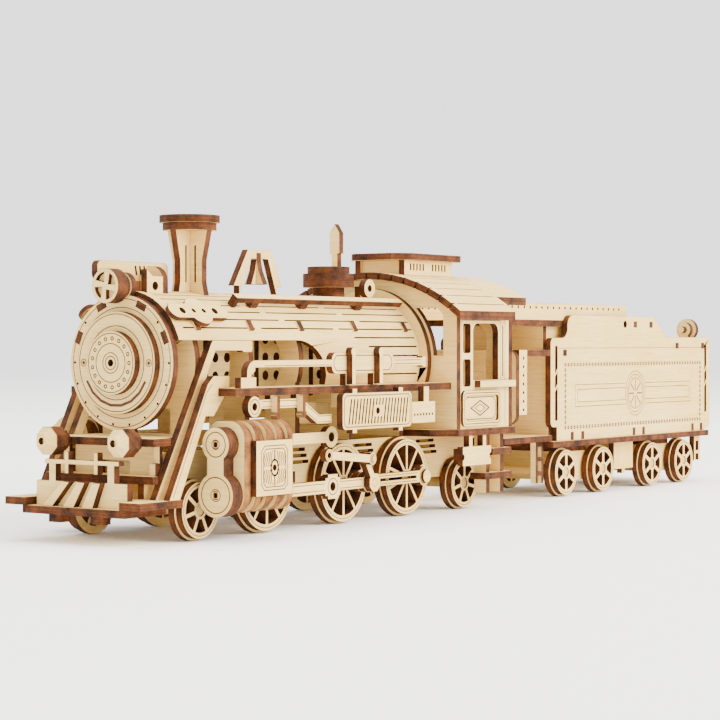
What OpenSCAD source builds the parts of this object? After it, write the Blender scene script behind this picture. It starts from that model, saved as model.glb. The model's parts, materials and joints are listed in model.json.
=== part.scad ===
// Wooden 2-6-2 steam locomotive and tender, slotted together from laser-cut plywood sheet.
// X runs along the train with the front at low X, Z is up, the wheels stand on Z = 0.

/* [Sheet and fits] */
// Thickness of the plywood sheet
sheet = 2; // [1.8:0.1:2.2]
// Gap between pieces that move past each other
slip = 0.2; // [0.15:0.05:0.25]
// Radial clearance of an axle or pin that turns in its bore
run_gap = 0.08; // [0.05:0.01:0.1]
// Gap left for glue between pieces that are fixed together
glue = 0.04; // [0.02:0.01:0.06]
// Radius of the round axle sticks
axle_r = 1.5; // [1.2:0.1:1.8]
// Radius of the crank pins
pin_r = 1.1; // [0.9:0.1:1.3]

/* [Wheels] */
// Tread radius of the six driving wheels
driver_r = 10.8; // [9:0.1:11.2]
// Tread radius of the leading and trailing wheels
pony_r = 7.2; // [6:0.1:8.6]
// Tread radius of the tender wheels
tender_wheel_r = 7.3; // [6:0.1:7.4]
// Height of the flange above the tread
flange_h = 0.64; // [0.5:0.02:0.8]
// Distance from the centre line to the outer face of a wheel
wheel_face_y = 19.9; // [19:0.1:21]
// Radius of the crank circle
crank_r = 5; // [4:0.1:5.5]

/* [Axle places] */
// Leading axle to first driving axle
lead_gap = 27.3; // [26:0.1:32]
// First to second driving axle
front_gap = 34.5; // [28:0.1:40]
// Second to third driving axle
rear_gap = 31.3; // [26:0.1:36]
// Third driving axle to trailing axle
trail_gap = 31.1; // [26:0.1:34]

/* [Boiler] */
// Outer radius of the slatted boiler shell
boiler_r = 18.5; // [17.4:0.1:20]
// Height of the boiler centre line
boiler_z = 44.9; // [44:0.1:47]
// Radius of the smokebox front
smokebox_r = 17.3; // [16:0.1:20]
// Height of the chimney above the boiler shell
chimney_h = 20.3; // [16:0.1:24]
// Number of slats round the shell, an odd number
slats = 27; // [21:2:33]

/* [Cab] */
// Length of the cab side walls
cab_len = 27; // [22:0.5:32]
// Half the width over the cab side walls
cab_half_w = 30; // [28:0.1:32]
// Top of the cab floor
cab_floor_z = 24.8; // [24:0.1:26]
// Height of the running boards
board_z = 38.5; // [37:0.1:40]
// Outer radius of the curved roof
roof_r = 52.6; // [48:0.2:60]
// Height of the top of the roof
roof_top_z = 70.9; // [69:0.1:73]
// Half the width of the roof
roof_half_w = 33; // [31:0.1:34]

/* [Tender] */
// Length of the tender side walls
tender_len = 116; // [100:1:140]
// Half the width over the tender side walls
tender_half_w = 21; // [20.4:0.1:24]
// Height of the tender floor
tender_floor_z = 18.4; // [18.2:0.1:20]
// Height of the tall part of the tender side walls
tender_top_z = 59; // [56:0.5:64]
// Distance between the two axles of the front bogie
front_bogie_base = 25; // [20:0.5:27]
// Distance between the two axles of the rear bogie
rear_bogie_base = 24.5; // [20:0.5:27]

/* [Hidden] */
$fn = 48;

wood = "burlywood";
pale_wood = "wheat";
burnt_wood = "peru";
stick_wood = "tan";

// Axles
first_x = lead_gap;
second_x = first_x + front_gap;
third_x = second_x + rear_gap;
trail_x = third_x + trail_gap;
driver_z = driver_r + flange_h;
pony_z = pony_r + flange_h;
tender_axle_z = tender_wheel_r + flange_h;

// Main frames stand just inside the flanges
frame_out = wheel_face_y - 2 * sheet - 0.5;
frame_in = frame_out - sheet;
frame_top = cab_floor_z - sheet;
frame_low = 10;
frame_front_x = -10;
stretcher_low = 11;
stretcher_tab_z = 12.2;
stretcher_tab_h = 3;

// Planes of the rods, counted outwards from the wheel face
side_rod_y = wheel_face_y + 0.7;
main_rod_y = side_rod_y + sheet + slip;
cross_y = main_rod_y + sheet + slip;
ecc_y = cross_y + sheet + slip;
panel_y = ecc_y + sheet + slip;
crank_end = [0.8, 6.8];
cross_travel = 2 * crank_r;
cross_x = second_x - 14.8;
cross_half = 3.3;

// Boiler and its slats
slat_low = -20;
slat_step = (180 - 2 * slat_low) / slats;
shell_in = boiler_r - sheet;
shell_top = boiler_z + boiler_r * cos(slat_step / 2);
smokebox_x = -7.5;
shell_front = smokebox_x + sheet;
cab_x = third_x + 10.9;
shell_len = cab_x - shell_front;
former_x = [for (f = [0.07, 0.27, 0.47, 0.7, 0.93]) shell_front + f * shell_len];
former_tab_angle = 31;
open_rear_x = 44;
open_top_z = boiler_z + 5.8;

// Cross stretchers between the frames
stretcher_x = [-7, lead_gap / 2 - 1, first_x + front_gap / 2 - 1, second_x + rear_gap / 2 - 1,
  third_x + trail_gap / 2 - 1, cab_x + sheet + cab_len - 4];

// Running boards
board_front_x = 4;
board_in = 15.3;
board_low = board_z - sheet;

// Cylinders
cyl_len = 22;
cyl_in = wheel_face_y + 0.4;
cyl_out = 32.4;
cyl_mid = (cyl_in + cyl_out) / 2;
cyl_top_z = 24.6;
cyl_low_z = driver_z + 0.5;
cyl_ribs = 9;

// Cab
cab_rear_x = cab_x + sheet + cab_len;
cab_in = cab_half_w - sheet;
roof_c = roof_top_z - roof_r;
roof_in = roof_r - sheet;
roof_front_x = cab_x - 3;
roof_inner_half = 26.3;
roof_rear_x = cab_rear_x + 16.5;
cab_floor_rear_x = cab_rear_x + 3;

// Tender
coupling_x = cab_rear_x + 9;
tender_x = coupling_x + 32;
tender_rear_x = tender_x + tender_len;
tender_in = tender_half_w - sheet;
tender_low_x = tender_x + 4;
wall_x = tender_x + 2;
deck_z = tender_floor_z + 27.4;
top_deck_z = tender_top_z - 3.7;
tender_rear_z = tender_top_z - 7;
rise_x = tender_x + 7.5;
fall_x = tender_x + tender_len * 0.62;
fall_end_x = fall_x + 9.5;
front_bogie_x = tender_x + 24.6;
rear_bogie_x = tender_rear_x - 31;
coal_half_w = 17;
pivot_r = 1.5;

// Whole train
front_x = -26;
mid_x = (front_x + tender_rear_x) / 2;

// Sets a piece in the frame whose origin is below the middle of the train
module placed() translate([-mid_x, 0, 0]) children();

// Repeats a piece on the far side
module both_sides() {
  children();
  mirror([0, 1, 0]) children();
}

// Sheet standing along the train: drawn in X and Z, from y to y + t less the glue
module plate_xz(y, t = sheet) translate([0, y + t - glue / 2, 0]) rotate([90, 0, 0])
  linear_extrude(t - glue) children();

// Sheet standing across the train: drawn in Y and Z, from x to x + t less the glue
module plate_yz(x, t = sheet) translate([x + glue / 2, 0, 0]) rotate([90, 0, 90])
  linear_extrude(t - glue) children();

// Sheet lying flat: drawn in X and Y, from z to z + t less the glue
module plate_xy(z, t = sheet) translate([0, 0, z + glue / 2]) linear_extrude(t - glue) children();

// Turned disc: lies like a sheet on the level z of its own frame
module disc(z, r, t = sheet) translate([0, 0, z + glue / 2]) cylinder(h = t - glue, r = r, $fn = 72);

// Rectangle from one corner to the other
module box_2d(x0, z0, x1, z1) translate([x0, z0]) square([x1 - x0, z1 - z0]);

// Rectangle with round corners
module round_2d(x0, z0, x1, z1, r) {
  box_2d(x0 + r, z0, x1 - r, z1);
  box_2d(x0, z0 + r, x1, z1 - r);
  for (x = [x0 + r, x1 - r])
    for (z = [z0 + r, z1 - r])
      translate([x, z]) circle(r, $fn = 24);
}

// Strip with round ends between two points
module link_2d(a, b, w) {
  d = b - a;
  long = norm(d);
  translate(a) rotate(atan2(d[1], d[0])) translate([0, -w / 2]) square([long, w]);
}

// Round bore through a plate that stands along the train
module bore_xz(x, z, r) translate([x, 0, z]) rotate([90, 0, 0]) cylinder(h = 200, r = r, center = true);

// ---- Wheels and axles ----

// Disc with spokes between its rim and its hub
module spoked_2d(r, rim_w, hub_r, count, spoke_w) {
  difference() {
    circle(r, $fn = 72);
    circle(r - rim_w, $fn = 72);
  }
  circle(hub_r);
  for (i = [0:count - 1])
    rotate(90 + i * 360 / count) translate([0, -spoke_w / 2]) square([r - rim_w / 2, spoke_w]);
}

// Pair of two-layer wheels, with the outer layer as the tread and the inner one as the flange
module wheel_pair(x, r, rim_w, hub_r, count, spoke_w) {
  translate([x, 0, r + flange_h]) both_sides() difference() {
    union() {
      plate_xz(-wheel_face_y) spoked_2d(r, rim_w, hub_r, count, spoke_w);
      plate_xz(sheet - wheel_face_y) spoked_2d(r + flange_h, rim_w + flange_h, hub_r, count, spoke_w);
    }
    rotate([90, 0, 0]) cylinder(h = 200, r = axle_r + glue, center = true);
  }
}

module axle(x, z) {
  translate([x, 0, z]) rotate([90, 0, 0]) cylinder(h = 2 * wheel_face_y - 0.6, r = axle_r, center = true);
}

module pony_wheelset(x) {
  color(pale_wood) wheel_pair(x, pony_r, 1.5, 2.3, 7, 1.0);
  color(stick_wood) axle(x, pony_z);
}

module tender_wheelset(x) {
  color(pale_wood) wheel_pair(x, tender_wheel_r, 1.6, 2.4, 6, 1.3);
  color(stick_wood) axle(x, tender_axle_z);
}

// Crank pin with a round head, reaching from the wheel to the plane reach
module crank_pin(x, reach, head) {
  translate([x + crank_r, -wheel_face_y + 2 * sheet, driver_z]) rotate([90, 0, 0]) {
    cylinder(h = reach - wheel_face_y + 2 * sheet, r = pin_r);
    translate([0, 0, 2 * sheet + glue]) cylinder(h = side_rod_y - slip - wheel_face_y - glue, r = pin_r + 1);
    if (head > 0)
      translate([0, 0, reach - wheel_face_y + 2 * sheet - head]) cylinder(h = head, r = pin_r + 0.8);
  }
}

module driver_wheels(x, cranked) {
  difference() {
    union() {
      wheel_pair(x, driver_r, 1.7, 2.2, 10, 0.9);
      if (cranked)
        translate([x, 0, driver_z]) both_sides() plate_xz(-wheel_face_y, 2 * sheet)
          difference() {
            translate([crank_r, 0]) circle(2.4);
            circle(1.8);
          }
    }
    if (cranked) bore_xz(x + crank_r, driver_z, pin_r + glue);
  }
}

module leading_wheelset() placed() pony_wheelset(0);

module trailing_wheelset() placed() pony_wheelset(trail_x);

module driver_wheelset_1() placed() {
  color(pale_wood) driver_wheels(first_x, false);
  color(stick_wood) axle(first_x, driver_z);
}

module driver_wheelset_2() placed() {
  color(pale_wood) driver_wheels(second_x, true);
  color(stick_wood) {
    axle(second_x, driver_z);
    both_sides() crank_pin(second_x, cross_y + sheet, 0);
  }
}

module driver_wheelset_3() placed() {
  color(pale_wood) driver_wheels(third_x, true);
  color(stick_wood) {
    axle(third_x, driver_z);
    both_sides() crank_pin(third_x, side_rod_y + sheet + 1, 0.8);
  }
}

module tender_wheelset_1() placed() tender_wheelset(front_bogie_x - front_bogie_base / 2);

module tender_wheelset_2() placed() tender_wheelset(front_bogie_x + front_bogie_base / 2);

module tender_wheelset_3() placed() tender_wheelset(rear_bogie_x - rear_bogie_base / 2);

module tender_wheelset_4() placed() tender_wheelset(rear_bogie_x + rear_bogie_base / 2);

// ---- Rods and valve gear ----

// Flat rod with two eyes
module rod_2d(a, b, eye_r, w) {
  link_2d(a, b, w);
  translate(a) circle(eye_r);
  translate(b) circle(eye_r);
}

module side_rods() placed() color(pale_wood) both_sides() difference() {
  a = [second_x + crank_r, driver_z];
  b = [third_x + crank_r, driver_z];
  plate_xz(-side_rod_y - sheet) difference() {
    rod_2d(a, b, 2.8, 3.4);
    box_2d(a[0] + 4, driver_z - 0.4, b[0] - 4, driver_z + 0.4);
  }
  for (p = [a, b]) bore_xz(p[0], p[1], pin_r + run_gap);
}

module main_rods() placed() color(pale_wood) both_sides() difference() {
  a = [cross_x, driver_z];
  b = [second_x + crank_r, driver_z];
  plate_xz(-main_rod_y - sheet) rod_2d(a, b, 2.8, 3);
  for (p = [a, b]) bore_xz(p[0], p[1], pin_r + run_gap);
}

// Crosshead block with the flat piston rod that slides in the cylinder
module crossheads() placed() color(pale_wood) both_sides() difference() {
  plate_xz(-cross_y - sheet) {
    box_2d(cross_x - 2.2, driver_z - cross_half, cross_x + 2.2, driver_z + cross_half);
    box_2d(cross_x - cross_half, driver_z - 2.4, cross_x + cross_half, driver_z + 2.4);
    translate([cross_x, driver_z]) circle(cross_half);
    box_2d(cyl_len - 4, driver_z - 1.7, cross_x, driver_z + 1.7);
  }
  bore_xz(cross_x, driver_z, 1.2);
}

// Arm fixed on the second crank pin, with the small pin that drives the eccentric rod
module return_cranks() placed() both_sides() {
  a = [second_x + crank_r, driver_z];
  b = [second_x + crank_end[0], driver_z + crank_end[1]];
  color(pale_wood) difference() {
    plate_xz(-cross_y - sheet) {
      link_2d(a, b, 2);
      translate(a) rotate(22.5) circle(2.7, $fn = 8);
      translate(b) circle(1.6);
    }
    bore_xz(a[0], a[1], pin_r + glue);
    bore_xz(b[0], b[1], 0.8 + glue);
  }
  color(stick_wood) translate([b[0], -cross_y, b[1]]) rotate([90, 0, 0])
    cylinder(h = ecc_y + sheet + 0.6 - cross_y, r = 0.8);
}

module eccentric_rods() placed() color(pale_wood) both_sides() {
  a = [second_x - 19.4, driver_z + 8.6];
  b = [second_x + crank_end[0], driver_z + crank_end[1]];
  difference() {
    plate_xz(-ecc_y - sheet) rod_2d(a, b, 1.7, 2.2);
    bore_xz(b[0], b[1], 0.8 + run_gap);
    bore_xz(a[0], a[1], 0.8);
  }
}

// ---- Locomotive frame ----

module main_frames() placed() color(wood) both_sides() difference() {
  plate_xz(-frame_out) difference() {
    union() {
      box_2d(frame_front_x, frame_low, cab_rear_x, frame_top);
      for (x = [first_x, second_x, third_x]) translate([x, driver_z]) circle(4.4);
      for (x = [0, trail_x]) {
        box_2d(x - 4, pony_z, x + 4, frame_low);
        translate([x, pony_z]) circle(4);
      }
    }
    for (x = [first_x + front_gap / 2, second_x + rear_gap / 2 - 1, third_x + trail_gap / 2])
      for (i = [0:2])
        box_2d(x - 7 + i * 1.5, 17.2 + i * 1.7, x + 7 - i * 0.8, 18.1 + i * 1.7);
    for (x = stretcher_x)
      box_2d(x, stretcher_tab_z, x + sheet, stretcher_tab_z + stretcher_tab_h);
  }
  for (x = [first_x, second_x, third_x]) bore_xz(x, driver_z, axle_r + run_gap);
  for (x = [0, trail_x]) bore_xz(x, pony_z, axle_r + run_gap);
}

// Cross plates tabbed into the frames, and the drag plate with its coupling pin
module frame_stretchers() placed() color(wood) {
  for (x = stretcher_x)
    plate_yz(x) {
      box_2d(-frame_in, stretcher_low, frame_in, frame_top);
      box_2d(-frame_out, stretcher_tab_z, frame_out, stretcher_tab_z + stretcher_tab_h);
    }
  drag_z = tender_floor_z - sheet - slip;
  difference() {
    plate_xy(drag_z) {
      box_2d(cab_rear_x - 4 + sheet, -6, coupling_x, 6);
      translate([coupling_x, 0]) circle(6);
    }
    translate([coupling_x, 0, 0]) cylinder(h = 60, r = pivot_r + glue);
  }
  color(stick_wood) translate([coupling_x, 0, drag_z]) cylinder(h = 2 * sheet + slip + 1, r = pivot_r);
}

// ---- Front end ----

deck_low = 9.2;
pilot_x = -22.3;
pilot_half_w = 15.2;
pilot_foot_front = -25.4;
wing_half_w = 22.6;

// Upper deck with two wings and the board below it
module pilot_deck() placed() color(wood) {
  plate_xy(deck_low - sheet) {
    box_2d(pilot_foot_front, -17.1, frame_front_x, 17.1);
  }
  plate_xy(deck_low - 2 * sheet) translate([pilot_foot_front + 1, 0]) both_pads();
  plate_xy(deck_low) difference() {
    box_2d(front_x, -wing_half_w, frame_front_x, wing_half_w);
    box_2d(front_x - 1, -pilot_half_w - 0.6, pilot_x + sheet, pilot_half_w + 0.6);
  }
}

// Pads below the board, seen from the front
module both_pads() for (y = [-7, 7]) translate([0, y - 2]) square([3, 4]);

// Cross plate with two posts, a rail and two pegs
module pilot_plate() placed() color(pale_wood) plate_yz(pilot_x) {
  box_2d(-pilot_half_w, deck_low, pilot_half_w, 15.4);
  for (y = [-9.8, 9.8]) box_2d(y - 1.1, 15, y + 1.1, 20.4);
  box_2d(-12.4, 19.7, 12.4, 20.8);
  for (y = [-4.8, 5]) box_2d(y - 0.6, 17.4, y + 0.6, 22.8);
}

// Slanting bars that stand on the board against the cross plate
module pilot_bars() placed() color(pale_wood) plate_yz(pilot_x - sheet)
  for (b = [[3.6, 9.8], [-1.6, 2.6], [-6.7, -3.7]])
    polygon([[b[0] - 1.3, 15.4], [b[0] + 1.3, 15.4], [b[1] + 1.8, deck_low], [b[1] - 1.8, deck_low]]);

beam_x = -16;
beam_z = 15;
stay_in = 15.6;
upper_z = 24.3;

// Thick beam, upper deck and the cross and side plates that carry them
module front_decks() placed() color(wood) {
  plate_xy(beam_z) {
    box_2d(beam_x, -18, beam_x + 2, 18);
    box_2d(beam_x, -stay_in, frame_front_x, stay_in);
  }
  plate_xy(upper_z) {
    box_2d(beam_x, -18.2, beam_x + 6.6, 18.2);
    box_2d(beam_x, -16.2, 2, 16.2);
  }
  both_sides() {
    plate_xz(-16.2) difference() {
      box_2d(beam_x + 3, beam_z + sheet, frame_front_x - slip, upper_z);
      box_2d(beam_x + 3, beam_z + 5, beam_x + 4.6, upper_z);
    }
    plate_xz(-14.2) box_2d(beam_x + 1, deck_low + sheet, frame_front_x - slip, beam_z);
  }
  plate_yz(frame_front_x) difference() {
    box_2d(-frame_in, frame_low, frame_in, upper_z);
    box_2d(-5, frame_low + 3, 5, upper_z - 4);
  }
}

// Eight-sided lamps built from stacked layers, with a dark eye
module marker_lamps() placed() both_sides() translate([beam_x, -12, upper_z + 1]) rotate([0, -90, 0]) {
  color(burnt_wood) {
    translate([0, 0, glue / 2]) rotate(22.5) cylinder(h = sheet - glue, r = 2.7, $fn = 8);
    for (i = [1:2])
      translate([0, 0, i * sheet + glue / 2]) rotate(22.5) cylinder(h = sheet - glue, r = 3.8, $fn = 8);
  }
  color(pale_wood) difference() {
    translate([0, 0, 3 * sheet + glue / 2]) rotate(22.5) cylinder(h = sheet - glue, r1 = 3.6, r2 = 1.8, $fn = 8);
    translate([0, 0, 3 * sheet + 0.6]) cylinder(h = sheet, r = 0.9);
  }
}

// Bent pipe plates that rise from the pilot deck and turn back along the smokebox
pipe_y = 16.6;
foot_z = deck_low + sheet;
module front_pipes() placed() color(pale_wood) both_sides() plate_xz(-pipe_y - sheet) {
  top = open_top_z - 0.1;
  polygon([[-15.7, foot_z], [-11.8, foot_z], [7.6, top - 2.6], [19, top - 2.6], [19, top],
    [6.6, top], [6, top - 0.7]]);
  round_2d(18.7, top - 3, 22.8, top, 0.6);
}

// Flat stays from the wings of the pilot deck up to the running boards
stay_y = 20.5;
module front_stays() placed() color(pale_wood) both_sides() plate_xz(-stay_y - sheet) difference() {
  polygon([[-15, foot_z], [-11, foot_z], [-1, 31.6], [2.1, 31.5], [6.5, board_low],
    [board_front_x + 4.4, board_z], [board_front_x + 4.4, board_z + 3.1], [2.1, board_z + 3.1],
    [-0.2, board_z + 1.1]]);
  box_2d(board_front_x - glue, board_low - glue, 60, board_z + glue);
}

// ---- Smokebox, boiler and what stands on it ----

smokebox_slots = [24, 65, 115, 156];
module smokebox_front() placed() color(pale_wood) plate_yz(smokebox_x) difference() {
  union() {
    translate([0, boiler_z]) circle(smokebox_r, $fn = 96);
    box_2d(-2.6, boiler_z, 2.6, shell_top + 2.6);
    translate([0, shell_top + 1]) circle(3.6);
  }
  for (a = smokebox_slots)
    translate([0, boiler_z]) rotate(a) box_2d(smokebox_r - 2.4, -1.7, smokebox_r - 0.5, 1.7);
  for (a = [0:20:340])
    if (a < 50 || a > 130)
      translate([0, boiler_z]) rotate(a) translate([smokebox_r - 1.4, 0]) circle(0.35, $fn = 16);
}

module smokebox_door() placed() color(pale_wood) {
  plate_yz(smokebox_x - sheet) translate([0, boiler_z]) circle(13, $fn = 96);
  plate_yz(smokebox_x - 2 * sheet) translate([0, boiler_z]) difference() {
    circle(8.1, $fn = 72);
    circle(0.9);
  }
}

lamp_z = shell_top + 1;
// Stacked lamp whose front disc has four windows between crossed bars
module headlamp() placed() translate([smokebox_x, 0, lamp_z]) rotate([0, -90, 0]) {
  color(burnt_wood) {
    disc(0, 3.2);
    disc(sheet, 4.4);
  }
  color(pale_wood) difference() {
    disc(2 * sheet, 4.4);
    translate([0, 0, 2 * sheet + 0.8]) linear_extrude(4) intersection() {
      difference() {
        circle(3.5, $fn = 60);
        circle(0.9);
      }
      for (a = [0:90:270]) rotate(a) polygon([[0.9, 0.3], [4, 0.3], [4, 4], [1.6, 3.8]]);
    }
  }
}

// Solid prism of the boiler's outside, to cut the feet of what stands on it
module boiler_prism(r) translate([-40, 0, 0]) plate_yz(0, 220) slat_arch(r);

module slat_polygon(r) translate([0, boiler_z])
  polygon([for (i = [0:slats]) let (a = slat_low + i * slat_step) [r * cos(a), r * sin(a)]]);

// The same outline with its mouth open downwards
module slat_arch(r) {
  slat_polygon(r);
  box_2d(-r * cos(slat_low), 0, r * cos(slat_low), boiler_z + r * sin(slat_low) + 0.1);
}

module lamp_bracket() placed() color(pale_wood) difference() {
  union() {
    plate_xz(3) difference() {
      union() {
        round_2d(-13, shell_top + 2.6, 14.3, shell_top + 7.6, 1.6);
        round_2d(-5.3, shell_top - 3, 14.3, shell_top + 6, 1);
      }
      for (i = [0:4])
        translate([1.6 + i * 1.7, shell_top + 4.1]) rotate(12) box_2d(0, 0, 0.6, 2.4);
    }
    plate_xz(-5) difference() {
      polygon([[-3.2, shell_top - 3], [3, shell_top - 3], [3, shell_top + 3.7], [-1, shell_top + 3.7],
        [-3.2, shell_top + 5.4]]);
      translate([0, shell_top + 1.2]) circle(1.1);
    }
    plate_yz(3) {
      box_2d(-5, shell_top - 3, 3, shell_top + 2.4);
      translate([-1, shell_top + 2.4]) intersection() {
        circle(4);
        box_2d(-4, 0, 4, 4);
      }
    }
    plate_yz(-5.3) box_2d(-3, shell_top - 3, 3, shell_top + 2.4);
  }
  translate([smokebox_x - 8, 0, lamp_z]) rotate([0, 90, 0]) cylinder(h = 8 + sheet, r = 4.5);
  boiler_prism(boiler_r);
}

module former_tabs_2d(grow = 0) translate([0, boiler_z])
  for (a = [former_tab_angle, 180 - former_tab_angle])
    rotate(a) box_2d(shell_in - 1, -1.4 - grow, boiler_r + 0.4, 1.4 + grow);

module former_2d() difference() {
  union() {
    intersection() {
      slat_polygon(shell_in - glue);
      box_2d(-40, board_z, 40, 90);
    }
    box_2d(-board_in + slip, frame_top, board_in - slip, board_z + 1);
    former_tabs_2d();
  }
  translate([0, boiler_z]) circle(10);
  box_2d(-8, frame_top + 4, 8, 33);
}

// Ring formers on the frames, and the perforated web that joins them
module boiler_formers() placed() color(wood) {
  for (x = former_x) plate_yz(x) former_2d();
  for (i = [0:len(former_x) - 2])
    plate_xz(-1) difference() {
      box_2d(former_x[i] + sheet, 33, former_x[i + 1], 58);
      for (x = [former_x[i] + 5:5:former_x[i + 1] - 3])
        for (z = [36:5:56])
          translate([x, z]) circle(1.3, $fn = 24);
    }
}

module shell_slot(angle, x0, x1) translate([0, 0, boiler_z]) rotate([angle, 0, 0])
  translate([x0, shell_in - 1, -0.22]) cube([x1 - x0, sheet + 2, 0.44]);

// Slatted shell with tabs that fill the slots of the smokebox front
module boiler_shell() placed() color(pale_wood) {
  difference() {
    plate_yz(shell_front, shell_len) difference() {
      slat_polygon(boiler_r);
      slat_arch(shell_in);
      box_2d(-40, 0, 40, board_z);
    }
    both_sides() plate_xz(-40, 36) {
      box_2d(shell_front - 1, 20, open_rear_x, open_top_z);
      translate([open_rear_x, open_top_z - 12.4]) circle(12.4);
    }
    for (i = [1:slats - 1]) {
      a = slat_low + i * slat_step;
      shift = (i % 3) * 6;
      if (a > 22 && a < 158) {
        shell_slot(a, shell_front + 3, 27 + shift);
        shell_slot(a, 29.5 + shift, 62 + shift);
        shell_slot(a, 64.5 + shift, cab_x - 3);
      } else {
        shell_slot(a, 64.5 + shift, cab_x - 3);
      }
    }
    for (x = former_x) plate_yz(x - glue, sheet + 2 * glue) former_tabs_2d(glue);
  }
  for (a = smokebox_slots) {
    plate_yz(smokebox_x + glue, sheet + 2.4) translate([0, boiler_z]) rotate(a)
      box_2d(smokebox_r - 2.4 + glue, glue - 1.7, smokebox_r - 0.5 - glue, 1.7 - glue);
    plate_yz(shell_front, 2.4) translate([0, boiler_z]) rotate(a)
      box_2d(smokebox_r - 2.4 + glue, -1.6, max(smokebox_r - 0.6, boiler_r - 0.8), 1.6);
  }
}

module on_shell(angle) both_sides() translate([0, 0, boiler_z]) rotate([90 - angle, 0, 0])
  translate([0, 0, boiler_r * cos(slat_step / 2)]) children();

// Handrail strips and the ornament plates near the smokebox
module shell_trim() placed() color(pale_wood) {
  rail_a = slat_low + 9 * slat_step;
  plate_a = slat_low + 7 * slat_step + slat_step / 2;
  on_shell(rail_a) {
    translate([24, -1, 1.7]) cube([cab_x - 28, 2, 1.6]);
    for (x = [30, 52, 78]) translate([x, -1, 0.2]) cube([3, 2, 1.5]);
    translate([22.6, -1, 0.2]) cube([1.4, 2, 3.1]);
  }
  on_shell(plate_a) translate([5, 0, 0.55]) linear_extrude(1.2) difference() {
    union() {
      box_2d(-9, -2.4, 9, 2.4);
      circle(4.4);
      for (x = [-9, 9]) translate([x, 0]) circle(2.4);
    }
    for (x = [-6.4, 6.4]) translate([x, 0]) circle(1);
    for (x = [-2, 2]) translate([x, 0]) circle(0.7);
  }
}

cap_r = 8;
module flue_2d() {
  cap_z = shell_top + chimney_h - 2 * sheet;
  difference() {
    polygon([
      [-6.2, shell_top - 3], [6.2, shell_top - 3], [5, shell_top + 2.6], [5, cap_z - 8],
      [6.8, cap_z], [-6.8, cap_z], [-5, cap_z - 8], [-5, shell_top + 2.6]]);
    for (x = [-2.7, 2.7]) box_2d(x - 0.25, shell_top + 2.6, x + 0.25, cap_z - 4);
  }
}

// Two crossed flue plates, halved into each other, under two cap discs
module chimney() placed() translate([19.6, 0, 0]) {
  cap_z = shell_top + chimney_h - 2 * sheet;
  mid_z = shell_top + chimney_h / 2;
  color(pale_wood) difference() {
    plate_xz(-sheet / 2) flue_2d();
    translate([-sheet / 2, -10, mid_z - glue / 2]) cube([sheet, 20, 40]);
    boiler_prism(boiler_r);
  }
  color(pale_wood) difference() {
    plate_yz(-sheet / 2) flue_2d();
    translate([-10, -sheet / 2, mid_z - 60 + glue / 2]) cube([20, sheet, 60]);
    boiler_prism(boiler_r);
  }
  color(burnt_wood) {
    disc(cap_z, 0.89 * cap_r);
    disc(cap_z + sheet, cap_r);
  }
}

bell_x = 48;
bell_top = shell_top + 9.6;
module bell_frame() placed() color(pale_wood) difference() {
  plate_xz(-sheet / 2) translate([bell_x, shell_top]) difference() {
    polygon([[-12.4, 0], [-8.6, 0], [-3.4, 9.8], [4.2, 9.8], [8, 0], [11.6, 0], [5.6, 12.2], [-4.8, 12.2]]);
    box_2d(-sheet / 2, 9, sheet / 2, 11.4);
  }
  plate_xz(-sheet / 2) translate([bell_x, shell_top]) {
    box_2d(-19, -1, -8.6, 2.2);
    box_2d(8, -1, 22, 2.2);
  }
  boiler_prism(boiler_r);
}

module bell_profile_2d() {
  polygon([[-1, bell_top], [1, bell_top], [1.6, bell_top - 3], [3.3, bell_top - 6.9],
    [-3.3, bell_top - 6.9], [-1.6, bell_top - 3]]);
}

// Bell of two crossed profiles, one of them tabbed into the frame
module bell() placed() color(burnt_wood) translate([bell_x, 0, 0]) {
  difference() {
    plate_yz(-sheet / 2) {
      bell_profile_2d();
      box_2d(-sheet / 2, bell_top, sheet / 2, shell_top + 11.4);
    }
    translate([-10, -sheet / 2, bell_top - 60]) cube([20, sheet, 56.6 + glue]);
  }
  difference() {
    plate_xz(-sheet / 2) bell_profile_2d();
    translate([-sheet / 2, -10, bell_top - 3.4]) cube([sheet, 20, 40]);
  }
}

dome_x = 82;
// Dome of stacked discs with the whistle blade and the side valve
module steam_dome() placed() {
  color(wood) difference() {
    translate([dome_x, 0, shell_top - 3]) cylinder(h = 5.6, r = 4.6);
    boiler_prism(boiler_r);
  }
  color(burnt_wood) translate([dome_x, 0, shell_top + 2.6]) {
    for (i = [0:1]) disc(i * sheet, 7.4);
    disc(2 * sheet, 6.1);
  }
  color(pale_wood) translate([dome_x + 3, 0, shell_top + 2.6 + 3 * sheet]) {
    plate_yz(0) {
      box_2d(-1, 0, 1, 4);
      polygon([[-1.7, 4], [1.7, 4], [1.7, 10], [0, 12.6], [-1.7, 10]]);
    }
  }
  color(pale_wood) translate([dome_x + 8, -7, shell_top + 2.4]) rotate([90, 0, 0]) difference() {
    cylinder(h = sheet, r = 2.7);
    translate([0, 0, -1]) cylinder(h = 2 * sheet, r = 1);
  }
  color(wood) difference() {
    plate_xz(-7) translate([dome_x, shell_top]) box_2d(6, -3, 9, 3);
    boiler_prism(boiler_r);
    translate([dome_x, 0, shell_top + 2.6]) cylinder(h = 10, r = 7.4, $fn = 72);
  }
}

// ---- Running boards and what they carry ----

board_half_w = 28;
module running_boards() placed() color(burnt_wood) both_sides() plate_xy(board_low)
  box_2d(board_front_x, -board_half_w, cab_x, -board_in);

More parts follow.
